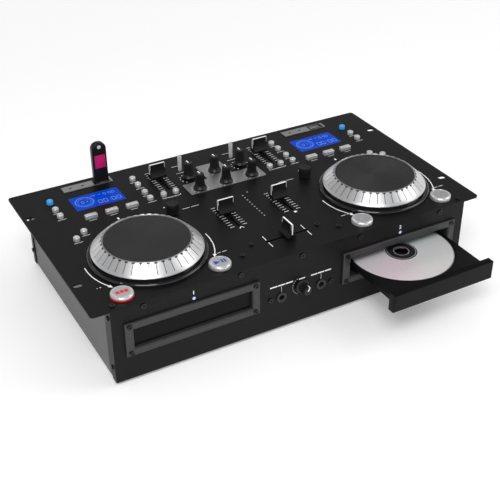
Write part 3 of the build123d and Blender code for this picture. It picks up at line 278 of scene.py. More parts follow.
# finishes: colour, roughness, metal, grain, relief, variation and what else they have
finishTable = {
    "panelPaint": ((0.005, 0.005, 0.0054), 0.42, 0, 1400, 0.2, 0.25, {"specular": 0.16, "edge": 0.5}),
    "facePaint": ((0.0068, 0.0068, 0.0072), 0.42, 0, 1400, 0.2, 0.25, {"specular": 0.15, "edge": 0.4}),
    "sidePaint": ((0.07, 0.07, 0.072), 0.42, 0, 1400, 0.25, 0.15, {"edge": 0.4}),
    "bezelMetal": ((0.055, 0.055, 0.057), 0.4, 0.6, 260, 0.3, 0.3, {"stretch": (0.25, 4, 9), "edge": 0.3}),
    "screwBlack": ((0.01, 0.01, 0.01), 0.35, 0.3, 900, 0.1, 0.2, {"edge": 0.2}),
    "rimSilver": ((0.74, 0.74, 0.75), 0.34, 0.75, 2400, 0.12, 0.06, {}),
    "rimGap": ((0.02, 0.02, 0.021), 0.45, 0.3, 1500, 0.1, 0.2, {}),
    "rimLip": ((0.3, 0.3, 0.305), 0.38, 0.6, 2000, 0.1, 0.08, {}),
    "glossBlack": ((0.008, 0.008, 0.009), 0.12, 0, 60, 0.03, 0.1, {"spread": 0.03, "coat": 0.6}),
    "buttonSilver": ((0.8, 0.8, 0.81), 0.28, 0.7, 2600, 0.1, 0.06, {}),
    "buttonFace": ((0.55, 0.55, 0.56), 0.4, 0.75, 700, 0.2, 0.12, {"stretch": (1, 9, 1)}),
    "smallSilver": ((0.72, 0.72, 0.73), 0.3, 0.65, 2600, 0.1, 0.1, {}),
    "chromeBright": ((0.85, 0.85, 0.86), 0.26, 0.4, 500, 0.05, 0.05, {"spread": 0.05}),
    "knobBlack": ((0.007, 0.007, 0.0075), 0.42, 0, 2200, 0.2, 0.3, {"specular": 0.4}),
    "drumBlack": ((0.005, 0.005, 0.0055), 0.45, 0, 2200, 0.2, 0.3, {"specular": 0.35}),
    "faderBlack": ((0.006, 0.006, 0.0065), 0.45, 0, 2400, 0.2, 0.25, {"specular": 0.3}),
    "whitePrint": ((0.92, 0.92, 0.92), 0.55, 0, 3000, 0.05, 0.08, {}),
    "greyPrint": ((0.6, 0.6, 0.6), 0.6, 0, 3000, 0.05, 0.15, {}),
    "plateMetal": ((0.42, 0.42, 0.43), 0.36, 0.85, 240, 0.3, 0.3, {"stretch": (0.3, 12, 1), "edge": 0.2}),
    "screenBlue": ((0.0005, 0.005, 0.04), 0.2, 0, 60, 0.0, 0.2,
                   {"spread": 0.02, "specular": 0.15, "glow": (0.0, 0.05, 0.5), "glowPower": 0.95}),
    "screenMark": ((0.04, 0.1, 0.3), 0.4, 0, 800, 0.0, 0.2, {"glow": (0.1, 0.27, 0.85), "glowPower": 0.85}),
    "discFace": ((0.9, 0.9, 0.9), 0.3, 0.35, 300, 0.02, 0.02, {}),
    "discHub": ((0.02, 0.02, 0.022), 0.1, 0, 200, 0.02, 0.1, {"spread": 0.03, "coat": 0.8}),
    "trayBlack": ((0.003, 0.003, 0.0033), 0.45, 0, 1800, 0.3, 0.25, {"specular": 0.15, "edge": 0.4}),
    "doorBlack": ((0.0025, 0.0025, 0.0028), 0.3, 0, 1800, 0.1, 0.25, {"specular": 0.12, "edge": 0.3}),
    "footRubber": ((0.012, 0.012, 0.012), 0.75, 0, 1200, 0.3, 0.3, {"edge": 0.4}),
    "zincSteel": ((0.45, 0.45, 0.46), 0.35, 1.0, 160, 0.1, 0.2, {}),
    "castMetal": ((0.4, 0.4, 0.41), 0.5, 0.9, 700, 0.3, 0.15, {}),
    "supplyMetal": ((0.14, 0.12, 0.07), 0.5, 0.4, 500, 0.2, 0.3, {}),
    "mouldBlack": ((0.014, 0.014, 0.015), 0.45, 0, 1800, 0.25, 0.25, {"edge": 0.3}),
    "phonoMetal": ((0.62, 0.56, 0.42), 0.25, 1.0, 600, 0.08, 0.08, {"edge": 0.2}),
    "ringRed": ((0.45, 0.012, 0.012), 0.4, 0, 1500, 0.1, 0.1, {}),
    "ringWhite": ((0.62, 0.62, 0.6), 0.4, 0, 1500, 0.1, 0.08, {}),
    "ejectBlue": ((0.02, 0.16, 0.35), 0.15, 0, 400, 0.03, 0.2,
                  {"coat": 0.8, "glow": (0.01, 0.2, 0.5), "glowPower": 0.75}),
    "cueRed": ((0.45, 0.008, 0.01), 0.3, 0, 600, 0.05, 0.2,
               {"glow": (0.5, 0.006, 0.01), "glowPower": 0.45}),
    "playBlue": ((0.01, 0.035, 0.25), 0.3, 0, 600, 0.05, 0.2,
                 {"glow": (0.01, 0.04, 0.35), "glowPower": 0.35}),
    "unlitGrey": ((0.3, 0.3, 0.31), 0.4, 0, 900, 0.05, 0.2, {}),
    "stickBlack": ((0.01, 0.009, 0.01), 0.3, 0, 200, 0.04, 0.1, {"spread": 0.04, "specular": 0.25}),
    # painted glow: the stick's pink window is given a faint light of its own to brighten it
    "stickPinkGlow": ((0.5, 0.012, 0.13), 0.12, 0, 120, 0.02, 0.35,
                  {"spread": 0.03, "coat": 0.7, "glow": (0.5, 0.012, 0.13), "glowPower": 0.12}),
    "plugMetal": ((0.62, 0.6, 0.55), 0.22, 1.0, 400, 0.05, 0.06, {"edge": 0.15}),
}
finish = {}
for name, (*look, more) in finishTable.items():
    finish[name] = surface(name, *look, **more)


def lampMaterial():
    # the two lamps on the front are lit blue, those on the panel are off
    material = surface("lampLens", (0.5, 0.5, 0.52), 0.25, 0, 600, 0.02, 0.2, coat=0.5, glow=(0.35, 0.5, 1.0))
    tree = material.node_tree
    split = addNode(tree, "SeparateXYZ", {"Vector": placeIn(tree)})
    isFront = addNode(tree, "Math", {0: split.outputs["Y"], 1: (panelFront + 10) * mm}, operation="LESS_THAN")
    power = addNode(tree, "Math", {0: isFront, 1: 0.55}, operation="MULTIPLY")
    wire(tree, shaderOf(material), {"Emission Strength": power})
    return material


def paintDiscRainbow(center):
    # painted reflection: faint rainbow tints and one darker band, as light thrown back by the disc shows
    # them, painted into its colour round its middle
    tree = finish["discFace"].node_tree
    mapping = addNode(tree, "Mapping", {"Vector": placeIn(tree), "Location": Vector(center) * -mm})
    gradient = addNode(tree, "TexGradient", {"Vector": mapping}, gradient_type="RADIAL")
    ramp = addNode(tree, "ValToRGB", {"Fac": gradient})
    setStops(ramp, [
        (0.0, (0.8, 0.76, 0.78)), (0.12, (0.86, 0.72, 0.78)), (0.3, (0.8, 0.79, 0.78)),
        (0.5, (0.78, 0.78, 0.8)), (0.58, (0.66, 0.84, 0.74)), (0.66, (0.78, 0.78, 0.8)),
        (0.74, (0.6, 0.58, 0.64)), (0.8, (0.82, 0.76, 0.78)), (0.9, (0.78, 0.78, 0.84)),
        (1.0, (0.8, 0.76, 0.78)),
    ])
    wire(tree, shaderOf(finish["discFace"]), {"Base Color": ramp})


board = {"laminateTop": -13.9, "socketsFrom": 244.0, "partTone": 0.01, "socketTone": 0.6}


def boardMaterial():
    # green laminate, black parts above it and bright sockets near its back edge
    material = surface("boardGreen", (0.012, 0.09, 0.035), 0.5, 0, 300, 0.15, 0.35)
    tree, shader = material.node_tree, shaderOf(material)
    color = shader.inputs["Base Color"].links[0].from_socket
    split = addNode(tree, "SeparateXYZ", {"Vector": placeIn(tree)})
    masks = []
    for axis, limit in (("Z", board["laminateTop"]), ("Y", panelFront + board["socketsFrom"])):
        masks.append(addNode(tree, "Math", {0: split.outputs[axis], 1: limit * mm}, operation="GREATER_THAN"))
    isSocket = addNode(tree, "Math", {0: masks[0], 1: masks[1]}, operation="MULTIPLY")
    for mask, tone in ((masks[0], board["partTone"]), (isSocket, board["socketTone"])):
        mix = addNode(tree, "Mix", data_type="RGBA")
        wire(tree, mix, {"A": color, "B": (tone, tone, tone, 1), "Factor": mask})
        color = mix.outputs["Result"]
    wire(tree, shader, {"Base Color": color, "Metallic": isSocket})
    return material


finish["lampLens"] = lampMaterial()
finish["boardGreen"] = boardMaterial()
nodeFinishes = {
    "top_panel": "panelPaint", "front_plate": "facePaint", "rear_plate": "facePaint",
    "base_chassis": "sidePaint", "case_screws": "screwBlack", "rubber_feet": "footRubber",
    "tray_left": "trayBlack", "tray_right": "trayBlack", "jog_dishes": "glossBlack",
    "brushed_plates": "plateMetal", "indicator_lights": "lampLens", "control_board": "boardGreen",
    "jack_board": "mouldBlack", "drive_units": "zincSteel", "power_supply": "supplyMetal",
    "phono_sockets": "phonoMetal", "mains_inlet": "mouldBlack", "power_switch": "glossBlack",
    "spindle_hub_left": "mouldBlack", "spindle_hub_right": "mouldBlack", "laser_sled_left": "castMetal",
    "laser_sled_right": "castMetal",
}
for name, finishName in nodeFinishes.items():
    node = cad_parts[name]
    node.data.materials.clear()
    node.data.materials.append(finish[finishName])
print("materials ready")

# ---------- jog wheels ----------
jog = {"x": 146.0, "y": -55.0, "segments": 40, "plateLow": (58.0, 10.3), "plateHigh": (48.0, 19.5),
       "plateAngle": 8.15, "plateLift": 0.5, "plateStrips": 5, "cornersFrom": 0.9, "lipFrom": 19.0,
       "platterRadius": 46.2, "platterTop": 19.6, "groovePitch": 1.3, "grooveDepth": 0.1}


def rimPlate():
    # one silver facet of the rim, with its two upper corners cut away
    low, high, strips = jog["plateLow"], jog["plateHigh"], jog["plateStrips"]
    shape = bmesh.new()
    rows = []
    for share in (0.0, 0.45, 0.88, 1.0):
        r = low[0] + (high[0] - low[0]) * share
        z = low[1] + (high[1] - low[1]) * share
        rows.append(shape.verts.new((r * mm, 0, z * mm)))
    for start, end in zip(rows, rows[1:]):
        shape.edges.new((start, end))
    angle = radians(jog["plateAngle"])
    bmesh.ops.rotate(shape, cent=(0, 0, 0), matrix=Matrix.Rotation(-angle / 2, 3, "Z"), verts=shape.verts[:])
    geom = shape.verts[:] + shape.edges[:]
    bmesh.ops.spin(shape, geom=geom, cent=(0, 0, 0), axis=(0, 0, 1), angle=angle, steps=strips)
    cornerHeight = (low[1] + (high[1] - low[1]) * jog["cornersFrom"]) * mm
    cornerAngle = angle * (0.5 - 1.1 / strips)
    corners = []
    for face in shape.faces:
        middle = face.calc_center_median()
        if middle.z > cornerHeight and abs(atan2(middle.y, middle.x)) > cornerAngle:
            corners.append(face)
    bmesh.ops.delete(shape, geom=corners, context="FACES")
    setNormals(shape)
    outward = sum(face.normal.dot(face.calc_center_median()) for face in shape.faces)
    if outward < 0:
        bmesh.ops.reverse_faces(shape, faces=shape.faces[:])
    slope = (high[0] - low[0]) / (high[1] - low[1])
    for vert in pushOut(shape, shape.faces[:]):
        outer = Vector((vert.co.x, vert.co.y, 0)).normalized()
        vert.co += (outer - Vector((0, 0, slope))).normalized() * jog["plateLift"] * mm
    setNormals(shape)
    return shape


def jogRim(place):
    # a cone with a dark groove under the facets and a duller lip inside them
    rim = bmesh.new()
    cone = [(57.4, 7.2), (60.1, 7.2), (60.5, 7.6), (60.5, 8.3), (60.2, 8.7), (58.4, 10.6), jog["plateLow"],
            jog["plateHigh"], (47.8, 19.8), (47.4, 20.0), (46.8, 20.0), (46.4, 19.6), (46.4, 16.6),
            (43.7, 16.6), (43.7, 13.6), (49.8, 13.6), (57.4, 7.2)]
    body = turned(cone, steps=120)
    for face in body.faces:
        middle = face.calc_center_median()
        radius = Vector((middle.x, middle.y)).length / mm
        inGroove = jog["plateHigh"][0] < radius < jog["plateLow"][0]
        onLip = radius < jog["plateHigh"][0] and middle.z > jog["lipFrom"] * mm
        face.material_index = 1 if inGroove else 2 if onLip else 0
    putAsIs(rim, body, place)
    facet = rimPlate()
    for step in range(jog["segments"]):
        put(rim, facet.copy(), place, spun(360 / jog["segments"] * step))
    facet.free()
    return rim


def jogPlatter(place):
    # touch surface with fine turned grooves round a plain middle
    radius, top = jog["platterRadius"], jog["platterTop"]
    profile = [(0, 16.7), (radius - 0.2, 16.7), (radius, 16.9), (radius, top - 0.4), (radius - 0.4, top)]
    groove = radius - 2.0
    while groove > 3.0:
        profile += [(groove, top), (groove - 0.3, top - jog["grooveDepth"]), (groove - 0.6, top)]
        groove -= jog["groovePitch"]
    profile += [(1.4, top), (1.1, top - 0.25), (0, top - 0.25)]
    platter = bmesh.new()
    put(platter, turned(profile, steps=96), place)
    return platter


for side, sign in sides.items():
    spot = (sign * jog["x"], jog["y"], 0)
    name = f"platterBlack_{side}"
    finish[name] = surface(name, (0.055, 0.055, 0.056), 0.24, 0.95, 1600, 0.04, 0.15)
    ringed(finish[name], 0.97, spot)
    addPiece(f"jogRim_{side}", jogRim(spot), f"jog_{side}",
             ["rimSilver", "rimGap", "rimLip"], [f"jog_rim_{side}"])
    addPiece(f"jogPlatter_{side}", jogPlatter(spot), f"jog_{side}", [name],
             [f"jog_platter_{side}"])
print("jog wheels done")

# ---------- large buttons ----------
bigButton = {"y": 19.4, "radius": 12.2, "height": 4.8, "inset": 9.3, "mark": 0.12}
bigButtonX = {"cue_button_left": -199.9, "play_button_left": -89.7, "cue_button_right": 89.7,
              "play_button_right": 199.9}


def bigButtonShape(name):
    radius, height, inset = bigButton["radius"], bigButton["height"], bigButton["inset"]
    place = fromFront(bigButtonX[name], bigButton["y"])
    button = bmesh.new()
    skirt = [(0, -2.0), (radius - 0.5, -2.0), (radius - 0.1, -1.6), (radius - 0.1, 1.0),
             (radius - 0.7, 1.3), (0, 1.3)]
    put(button, turned(skirt), place, material=2)
    cap = [(0, 1.3), (radius - 0.5, 1.3), (radius, 1.8), (radius, height - 1.9), (radius - 0.5, height - 0.8),
           (radius - 1.5, height - 0.1), (radius - 2.2, height), (inset + 0.2, height), (inset, height - 0.3),
           (0, height - 0.3)]
    put(button, turned(cap, steps=72), place)
    disc = [(0, height - 0.32), (inset - 0.15, height - 0.32), (inset - 0.15, height - 0.15),
            (0, height - 0.08)]
    put(button, turned(disc), place, material=1)
    x, y, z = place[0], place[1], height - 0.02
    if name.startswith("play"):
        arrow = outlined([(-6.6, -3.3), (0.2, 0), (-6.6, 3.3)], bigButton["mark"])
        put(button, arrow, (x, y, z), spun(-90, "X"), material=3)
        shifts, length, depth = (2.4, 5.6), 1.8, 6.4
    else:
        shifts, length, depth = (-4.6, 0, 4.6), 3.7, 4.6
    for shift in shifts:
        put(button, block((length, depth, bigButton["mark"])), (x + shift, y, z), material=3)
    return button


glowOf = {"cue_button_left": "cueRed", "play_button_left": "playBlue"}
for name in bigButtonX:
    lit = glowOf.get(name, "unlitGrey")
    skirtFinish = lit if name == "cue_button_left" else "buttonSilver"
    addPiece(name.replace("_", "-"), bigButtonShape(name), name,
             ["buttonSilver", "buttonFace", skirtFinish, lit], [name])
print("large buttons done")

# ---------- small buttons ----------
smallButton = {"radius": 3.8, "height": 4.4, "foot": 1.8, "oblong": (14.5, 6.2), "edge": 0.9}
outerPlaces = [(202.0, 208.9), (202.0, 193.0), (190.6, 148.8), (203.0, 138.4)]
innerPlaces = [(96.6, 233.2), (96.6, 216.6), (96.6, 196.6), (96.6, 180.8), (79.5, 180.8), (63.8, 180.8)]
trackPlaces = [(171.7, 176.0), (146.6, 176.0), (121.5, 176.0)]
ejectPlaces = [(202.0, 228.3)]


def roundButtons(places):
    radius, height, foot = smallButton["radius"], smallButton["height"], smallButton["foot"]
    profile = [(0, -foot), (radius, -foot), (radius, height - 1.1), (radius - 0.25, height - 0.45),
               (radius - 0.7, height - 0.05), (radius - 1.1, height), (radius - 1.7, height - 0.12),
               (radius - 2.6, height - 0.3), (0, height - 0.38)]
    buttons = bmesh.new()
    for x, y in places:
        put(buttons, turned(profile, steps=40), fromFront(x, y))
    return buttons


def oblongButtons(places):
    length, depth = smallButton["oblong"]
    height, foot, edge = smallButton["height"], smallButton["foot"], smallButton["edge"]
    buttons = bmesh.new()
    for x, y in places:
        cap = block((length, depth, height + foot))
        corners = [item for item in cap.edges if abs(item.verts[0].co.z - item.verts[1].co.z) > mm]
        roundEdges(cap, corners, edge, 3)
        topFace = max(cap.faces, key=lambda face: face.calc_center_median().z)
        roundEdges(cap, topFace.edges[:], edge, 3)
        put(buttons, cap, fromFront(x, y, (height - foot) / 2))
    return buttons


for side, sign in sides.items():
    groups = {"outer_buttons": outerPlaces, "inner_buttons": innerPlaces, "eject_button": ejectPlaces}
    for group, places in groups.items():
        mirrored = [(sign * x, y) for x, y in places]
        isEject = group == "eject_button"
        finishName = "ejectBlue" if isEject else "smallSilver"
        addPiece(f"{group}-{side}", roundButtons(mirrored), f"{group}_{side}", [finishName],
                 [f"{group}_{side}"])
    mirrored = [(sign * x, y) for x, y in trackPlaces]
    addPiece(f"track_buttons-{side}", oblongButtons(mirrored), f"track_buttons_{side}",
             ["smallSilver"], [f"track_buttons_{side}"])
print("small buttons done")

# ---------- knobs ----------
knob = {"radius": 8.0, "topRadius": 4.9, "gap": 1.5, "flutes": 18, "fluteDepth": 0.45, "column": 35.0,
        "frontRow": 174.5, "backRow": 205.0, "height": 21.1, "mixHeight": 14.5, "mixZ": -45.0, "mixTurn": -22}
drum = {"x": 88.0, "y": 138.5, "radius": 7.5, "top": 13.5, "ribs": 30, "ribDepth": 0.35}


def knobShaft():
    top = knob["gap"] + 0.1
    return turned([(0, -1.0), (3.0, -1.0), (3.0, top), (0, top)], steps=32)


def bellKnob(height):
    # bell-shaped grip with flutes and a white pointer that runs over its top edge
    base, tip, gap = knob["radius"], knob["topRadius"], knob["gap"]
    length = height - gap
    profile = [(0, gap), (base - 0.3, gap), (base, gap + 0.3), (base, gap + 1.4), (base - 0.5, gap + 2.0)]
    for share in (0.2, 0.3, 0.4, 0.5, 0.6, 0.7, 0.8, 0.9):
        r = tip + (base - 1.2 - tip) * (1 - share) ** 2.4
        profile.append((r + 0.15, gap + length * share))
    profile += [(tip - 0.1, height - 0.9), (tip - 0.6, height - 0.3), (tip - 1.2, height),
                (tip - 1.7, height - 0.2), (0, height - 0.2)]
    steps = knob["flutes"] * 4
    shape = turned(profile, steps=steps)
    low, high = (gap + 2.2) * mm, (height - 0.7) * mm
    for vert in shape.verts:
        radius = Vector((vert.co.x, vert.co.y)).length
        if low < vert.co.z < high and radius > 2 * mm:
            turn = round(atan2(vert.co.y, vert.co.x) / fullTurn * steps) % 4
            if turn in (0, 1):
                scale = 1 - knob["fluteDepth"] * mm / radius
                vert.co.x *= scale
                vert.co.y *= scale
    putAsIs(shape, knobShaft())
    whole = bmesh.new()
    put(whole, shape)
    put(whole, block((1.4, tip + 0.3, 0.5), 0.15, 1), (0, tip / 2 + 0.2, height - 0.12), material=1)
    put(whole, block((1.4, 0.5, length * 0.3), 0.15, 1), (0, tip + 0.2, height - length * 0.15 - 0.4),
        material=1)
    return whole


for row in ("back", "front"):
    for column, x in (("left", -knob["column"]), ("middle", 0), ("right", knob["column"])):
        name = f"{row}_{column}_knob"
        whole = bmesh.new()
        putAsIs(whole, bellKnob(knob["height"]), fromFront(x, knob[row + "Row"]))
        addPiece(name.replace("_", "-"), whole, name, ["knobBlack", "whitePrint"], [name])
mixKnob = bmesh.new()
putAsIs(mixKnob, bellKnob(knob["mixHeight"]), (0, faceFront, knob["mixZ"]),
        spun(90, "X") @ spun(knob["mixTurn"]))
addPiece("cue-mix-knob", mixKnob, "mix_knob", ["knobBlack", "whitePrint"], ["cue_mix_knob"])


def drumKnob():
    # low drum with a row of fine upright ribs
    radius, top, gap = drum["radius"], drum["top"], knob["gap"]
    profile = [(0, gap), (radius - 0.4, gap), (radius, gap + 0.4), (radius, gap + 1.6),
               (radius - 0.2, gap + 1.8), (radius - 0.2, top - 1.2), (radius - 0.5, top - 0.4),
               (radius - 1.1, top), (radius - 2.2, top), (radius - 2.6, top - 0.4), (0, top - 0.5)]
    steps = drum["ribs"] * 3
    shape = turned(profile, steps=steps)
    for vert in shape.verts:
        radial = Vector((vert.co.x, vert.co.y)).length
        turn = round(atan2(vert.co.y, vert.co.x) / fullTurn * steps) % 3
        if (gap + 1.7) * mm < vert.co.z < (top - 0.9) * mm and turn == 0:
            vert.co.x *= 1 - drum["ribDepth"] * mm / radial
            vert.co.y *= 1 - drum["ribDepth"] * mm / radial
    putAsIs(shape, knobShaft())
    return shape


for side, sign in sides.items():
    whole = bmesh.new()
    put(whole, drumKnob(), fromFront(sign * drum["x"], drum["y"]))
    addPiece(f"encoder-{side}", whole, f"encoder_{side}", ["drumBlack"],
             [f"encoder_knob_{side}"])
print("knobs done")

# ---------- faders ----------
fader = {"width": 20.0, "foot": 11.0, "footTop": 3.5, "ridge": 2.6, "top": 19.0, "gap": 1.5, "ribs": 5}
faderSpots = {
    "channel_fader_left": ("channel_left", -35.0, 110.5, 0),
    "channel_fader_right": ("channel_right", 35.0, 110.5, 0),
    "pitch_fader_left": ("pitch_left", -67.6, 224.5, 0),
    "pitch_fader_right": ("pitch_right", 73.6, 224.5, 0),
    "cross_fader": ("crossfade", 1.5, 34.5, 90),
}


def faderCap():
    # waisted cap: a wide ribbed foot, a thin upright ridge and a white line round it
    half, ridge, width = fader["foot"] / 2, fader["ridge"] / 2, fader["width"]
    gap, footTop, top = fader["gap"], fader["footTop"], fader["top"]
    outline = [(-half + 0.3, gap), (half - 0.3, gap), (half, gap + 0.3), (half, footTop)]
    for share in (0.06, 0.14, 0.24, 0.38, 0.6, 0.85):
        outline.append((ridge + (half - ridge) * (1 - share) ** 4.2, footTop + (top - footTop) * share))
    outline += [(ridge, top - 0.5), (ridge - 0.4, top)]
    outline += [(-x, z) for x, z in reversed(outline[2:])]
    body = outlined(outline, width)
    roundRims(body, 0.25, 1)
    cap = bmesh.new()
    put(cap, body, turn=spun(90))
    for step in range(fader["ribs"]):
        share = step / (fader["ribs"] - 1)
        y = half - 0.35 - 2.6 * share
        z = footTop + 0.2 + 2.2 * share ** 1.6
        for way in (-1, 1):
            put(cap, block((width - 1.6, 0.45, 0.5), 0.12, 1), (0, way * y, z))
    put(cap, block((width - 0.4, 1.9, 0.3), 0.08, 1), (0, 0, top - 0.02), material=1)
    sideTop, sideLow = top - 0.4, footTop + 3.0
    length, middle = sideTop - sideLow, (sideTop + sideLow) / 2
    for way in (-1, 1):
        edgeX = way * width / 2
        put(cap, block((0.3, 1.5, length), 0.08, 1), (edgeX - way * 0.02, 0, middle), material=1)
        for face in (-1, 1):
            side = block((0.55, 0.3, length), 0.08, 1)
            put(cap, side, (edgeX - way * 0.6, face * ridge, middle), material=3)
    put(cap, block((1.6, 4.0, 6.0)), (0, 0, -1.2), material=2)
    return cap


for node, (body, x, y, turn) in faderSpots.items():
    whole = bmesh.new()
    putAsIs(whole, faderCap(), fromFront(x, y), spun(turn))
    addPiece(node.replace("_", "-"), whole, body,
             ["faderBlack", "whitePrint", "plugMetal", "greyPrint"], [node])
print("faders done")

# ---------- toggle switches ----------
toggle = {"x": 35.3, "y": 229.5, "width": 5.0, "thickness": 1.6, "top": 20.5, "bottom": -3.0}
for side, sign in sides.items():
    bat = bmesh.new()
    height = toggle["top"] - toggle["bottom"]
    lever = block((toggle["width"], toggle["thickness"], height), 0.45, 3)
    put(bat, lever, fromFront(sign * toggle["x"], toggle["y"], toggle["bottom"] + height / 2))
    addPiece(f"toggle-{side}", bat, f"toggle_{side}", ["chromeBright"],
             [f"toggle_switch_{side}"])
print("toggle switches done")

# ---------- displays ----------
glassTop, markHeight = -0.35, 0.06
markZ = glassTop + 0.02
screen = {"x": 150.2, "y": 212.3, "width": 61.5, "depth": 33.2, "border": 0.5, "bevel": 0.6, "rise": 0.9,
          "rings": ({"bars": 36, "radius": 10.6, "bar": (0.7, 2.0, markHeight)},
                    {"bars": 28, "radius": 7.8, "bar": (0.5, 1.1, markHeight)})}
segmentsOf = {"0": "abcdef", "1": "bc", ":": ""}


def showDigits(target, text, place, size, stroke):
    # bar digits, as on a clock
    width, height = size
    low, high = height * 0.25, height * 0.75
    bars = {"a": (0, height, 1), "b": (width / 2, high, 0), "c": (width / 2, low, 0), "d": (0, 0, 1),
            "e": (-width / 2, low, 0), "f": (-width / 2, high, 0)}
    x = place[0]
    for letter in text:
        for key in segmentsOf[letter]:
            dx, dy, isLevel = bars[key]
            length, depth = (width - stroke, stroke) if isLevel else (stroke, height / 2 - stroke)
            put(target, block((length, depth, markHeight)), (x + dx, place[1] + dy, place[2]), material=1)
        if letter == ":":
            for dy in (height * 0.3, height * 0.7):
                point = block((stroke, stroke, markHeight))
                put(target, point, (x - width * 0.1, place[1] + dy, place[2]), material=1)
        x += width * (0.85 if letter == ":" else 1.55)


windows = bmesh.new()
for sign in sides.values():
    middle = fromFront(sign * screen["x"], screen["y"])
    width, depth, border = screen["width"] - 0.3, screen["depth"] - 0.3, screen["border"]
    innerWidth, innerDepth = width - 2 * border, depth - 2 * border
    seatWidth, seatDepth = innerWidth - screen["bevel"], innerDepth - screen["bevel"]
    surround = framed([(width, depth, 2.0), (width, depth, 0.0), (innerWidth, innerDepth, 0.0),
                       (seatWidth, seatDepth, screen["rise"]), (seatWidth, seatDepth, 2.0)])
    put(windows, surround, middle, spun(-90, "X"), material=2)
    put(windows, block((innerWidth, innerDepth, 1.6), 0.1, 1), (middle[0], middle[1], glassTop - 0.8))
    ringX, ringY = middle[0] - 15.5, middle[1] + 0.5
    for ring in screen["rings"]:
        for step in range(ring["bars"]):
            angle = fullTurn * step / ring["bars"]
            x, y = ringX + ring["radius"] * cos(angle), ringY + ring["radius"] * sin(angle)
            put(windows, block(ring["bar"]), (x, y, markZ), spun(degrees(angle) - 90), material=1)
    showDigits(windows, "01", (ringX - 2.3, ringY - 2.4, markZ), (2.8, 4.6), 0.6)
    showDigits(windows, "00:00", (middle[0] + 1.5, middle[1] - 10.5, markZ), (4.2, 7.4), 0.75)
    showDigits(windows, "0:00", (middle[0] + 12.0, middle[1] + 6.0, markZ), (2.6, 4.4), 0.55)
    for x, length in ((-2.0, 6.0), (6.0, 3.0)):
        put(windows, block((length, 0.7, markHeight)), (middle[0] + x, middle[1] + 9.5, markZ), material=1)
addPiece("displayWindows", windows, "case", ["screenBlue", "screenMark", "glossBlack"],
         ["display_windows"])
print("displays done")

# ---------- memory stick ----------
stick = {"x": -130.7, "y": 249.2, "width": 18.0, "thickness": 8.0, "bottom": 1.0, "top": 52.5, "corner": 8.0,
         "window": (19.5, 37.5), "eye": 2.3, "eyeDrop": 5.0, "plug": (12.0, 4.6, 11.4)}


def stickBody():
    # upright slab with two broad round corners at the top
    half, low, high, corner = stick["width"] / 2, stick["bottom"], stick["top"], stick["corner"]
    outline = [(-half + 1.2, low), (half - 1.2, low), (half, low + 1.5)]
    for step in range(9):
        angle = radians(90 * step / 8)
        outline.append((half - corner + corner * cos(angle), high - corner + corner * sin(angle)))
    outline += [(-x, z) for x, z in reversed(outline[2:])]
    body = outlined(outline, stick["thickness"])
    roundRims(body, 1.6, 4)
    return body


def onStick(z):
    return fromFront(stick["x"], stick["y"], z)


memoryStick = bmesh.new()
put(memoryStick, stickBody(), onStick(0))
windowLow, windowHigh = stick["window"]
# the pink window, which carries a painted glow
window = block((stick["width"] - 3.6, stick["thickness"] + 0.1, windowHigh - windowLow), 0.8, 3)
put(memoryStick, window, onStick((windowLow + windowHigh) / 2), material=1)
eye = turned([(0, -4.1), (stick["eye"], -4.1), (stick["eye"], 4.1), (0, 4.1)], steps=28)
put(memoryStick, eye, onStick(stick["top"] - stick["eyeDrop"]), spun(90, "X"), material=3)
put(memoryStick, block(stick["plug"], 0.2, 1), onStick(stick["bottom"] - 5.0), material=2)
addPiece("memoryStick", memoryStick, "stick",
         ["stickBlack", "stickPinkGlow", "plugMetal", "ringWhite"], ["memory_stick"])

port = {"shift": 17.8, "plates": (-148.5, 154.5), "frame": (20.4, 11.0), "window": (17.0, 8.6), "low": 0.8,
        "high": 1.0}
portFrames = bmesh.new()
for x in port["plates"]:
    loops = [(*port["frame"], -port["low"]), (*port["frame"], -port["high"]),
             (*port["window"], -port["high"]), (*port["window"], -port["low"])]
    put(portFrames, framed(loops), fromFront(x + port["shift"], stick["y"]), spun(-90, "X"))
addPiece("portFrames", portFrames, "case", ["glossBlack"])
print("memory stick done")

# ---------- disc ----------
disc = {"x": 130.6, "y": -136.0, "bottom": -40.5, "top": -39.3, "radius": 60.0, "rim": 58.8, "hole": 7.5,
        "hub": 18.2}
low, high, radius, rim, hub, hole = [disc[key] for key in ("bottom", "top", "radius", "rim", "hub", "hole")]
silverRing = [(hub, low + 0.1), (rim, low + 0.1), (rim, high), (hub, high), (hub, low + 0.1)]
hubRing = [(hole, low), (hub, low), (hub, high), (17.2, high), (16.9, high + 0.2), (16.1, high + 0.2),
           (15.8, high), (12.0, high), (11.7, high - 0.25), (9.0, high - 0.25), (8.7, high),
           (hole + 0.1, high), (hole, high - 0.1), (hole, low)]
# painted highlights: thin grey rings on the hub's raised ring and on its inner step, where light glints
hubGlintRings = [(16.9, 16.1, high + 0.2), (9.2, 8.4, high)]
edgeRing = [(rim, low), (radius, low + 0.2), (radius, high - 0.2), (radius - 0.2, high), (rim, high),
            (rim, low)]
shinyDisc = bmesh.new()
discPlace = (disc["x"], disc["y"], 0)
put(shinyDisc, turned(silverRing, steps=128), discPlace)
put(shinyDisc, turned(hubRing, steps=72), discPlace, material=1)
put(shinyDisc, turned(edgeRing, steps=128), discPlace, material=2)
# the painted highlights are laid on the hub here
for outer, inner, top in hubGlintRings:
    line = turned([(outer, top), (outer, top + 0.05), (inner, top + 0.05), (inner, top), (outer, top)],
                  steps=72)
    put(shinyDisc, line, discPlace, material=2)
# painted reflection: rainbow tints put into the disc's colour
paintDiscRainbow(discPlace)
ringed(finish["discFace"], 0.6, discPlace)
addPiece("compactDisc", shinyDisc, "disc", ["discFace", "discHub", "unlitGrey"],
         ["compact_disc"])

# ---------- tray doors and bezels ----------
door = {"offset": 130.6, "middle": -41.4, "width": 134.9, "height": 22.2, "thickness": 9.0, "front": -130.0,
        "travel": {"left": 0.0, "right": 84.5}}


def frontOf(leaf):
    return min(leaf.faces, key=lambda face: face.calc_center_median().y)


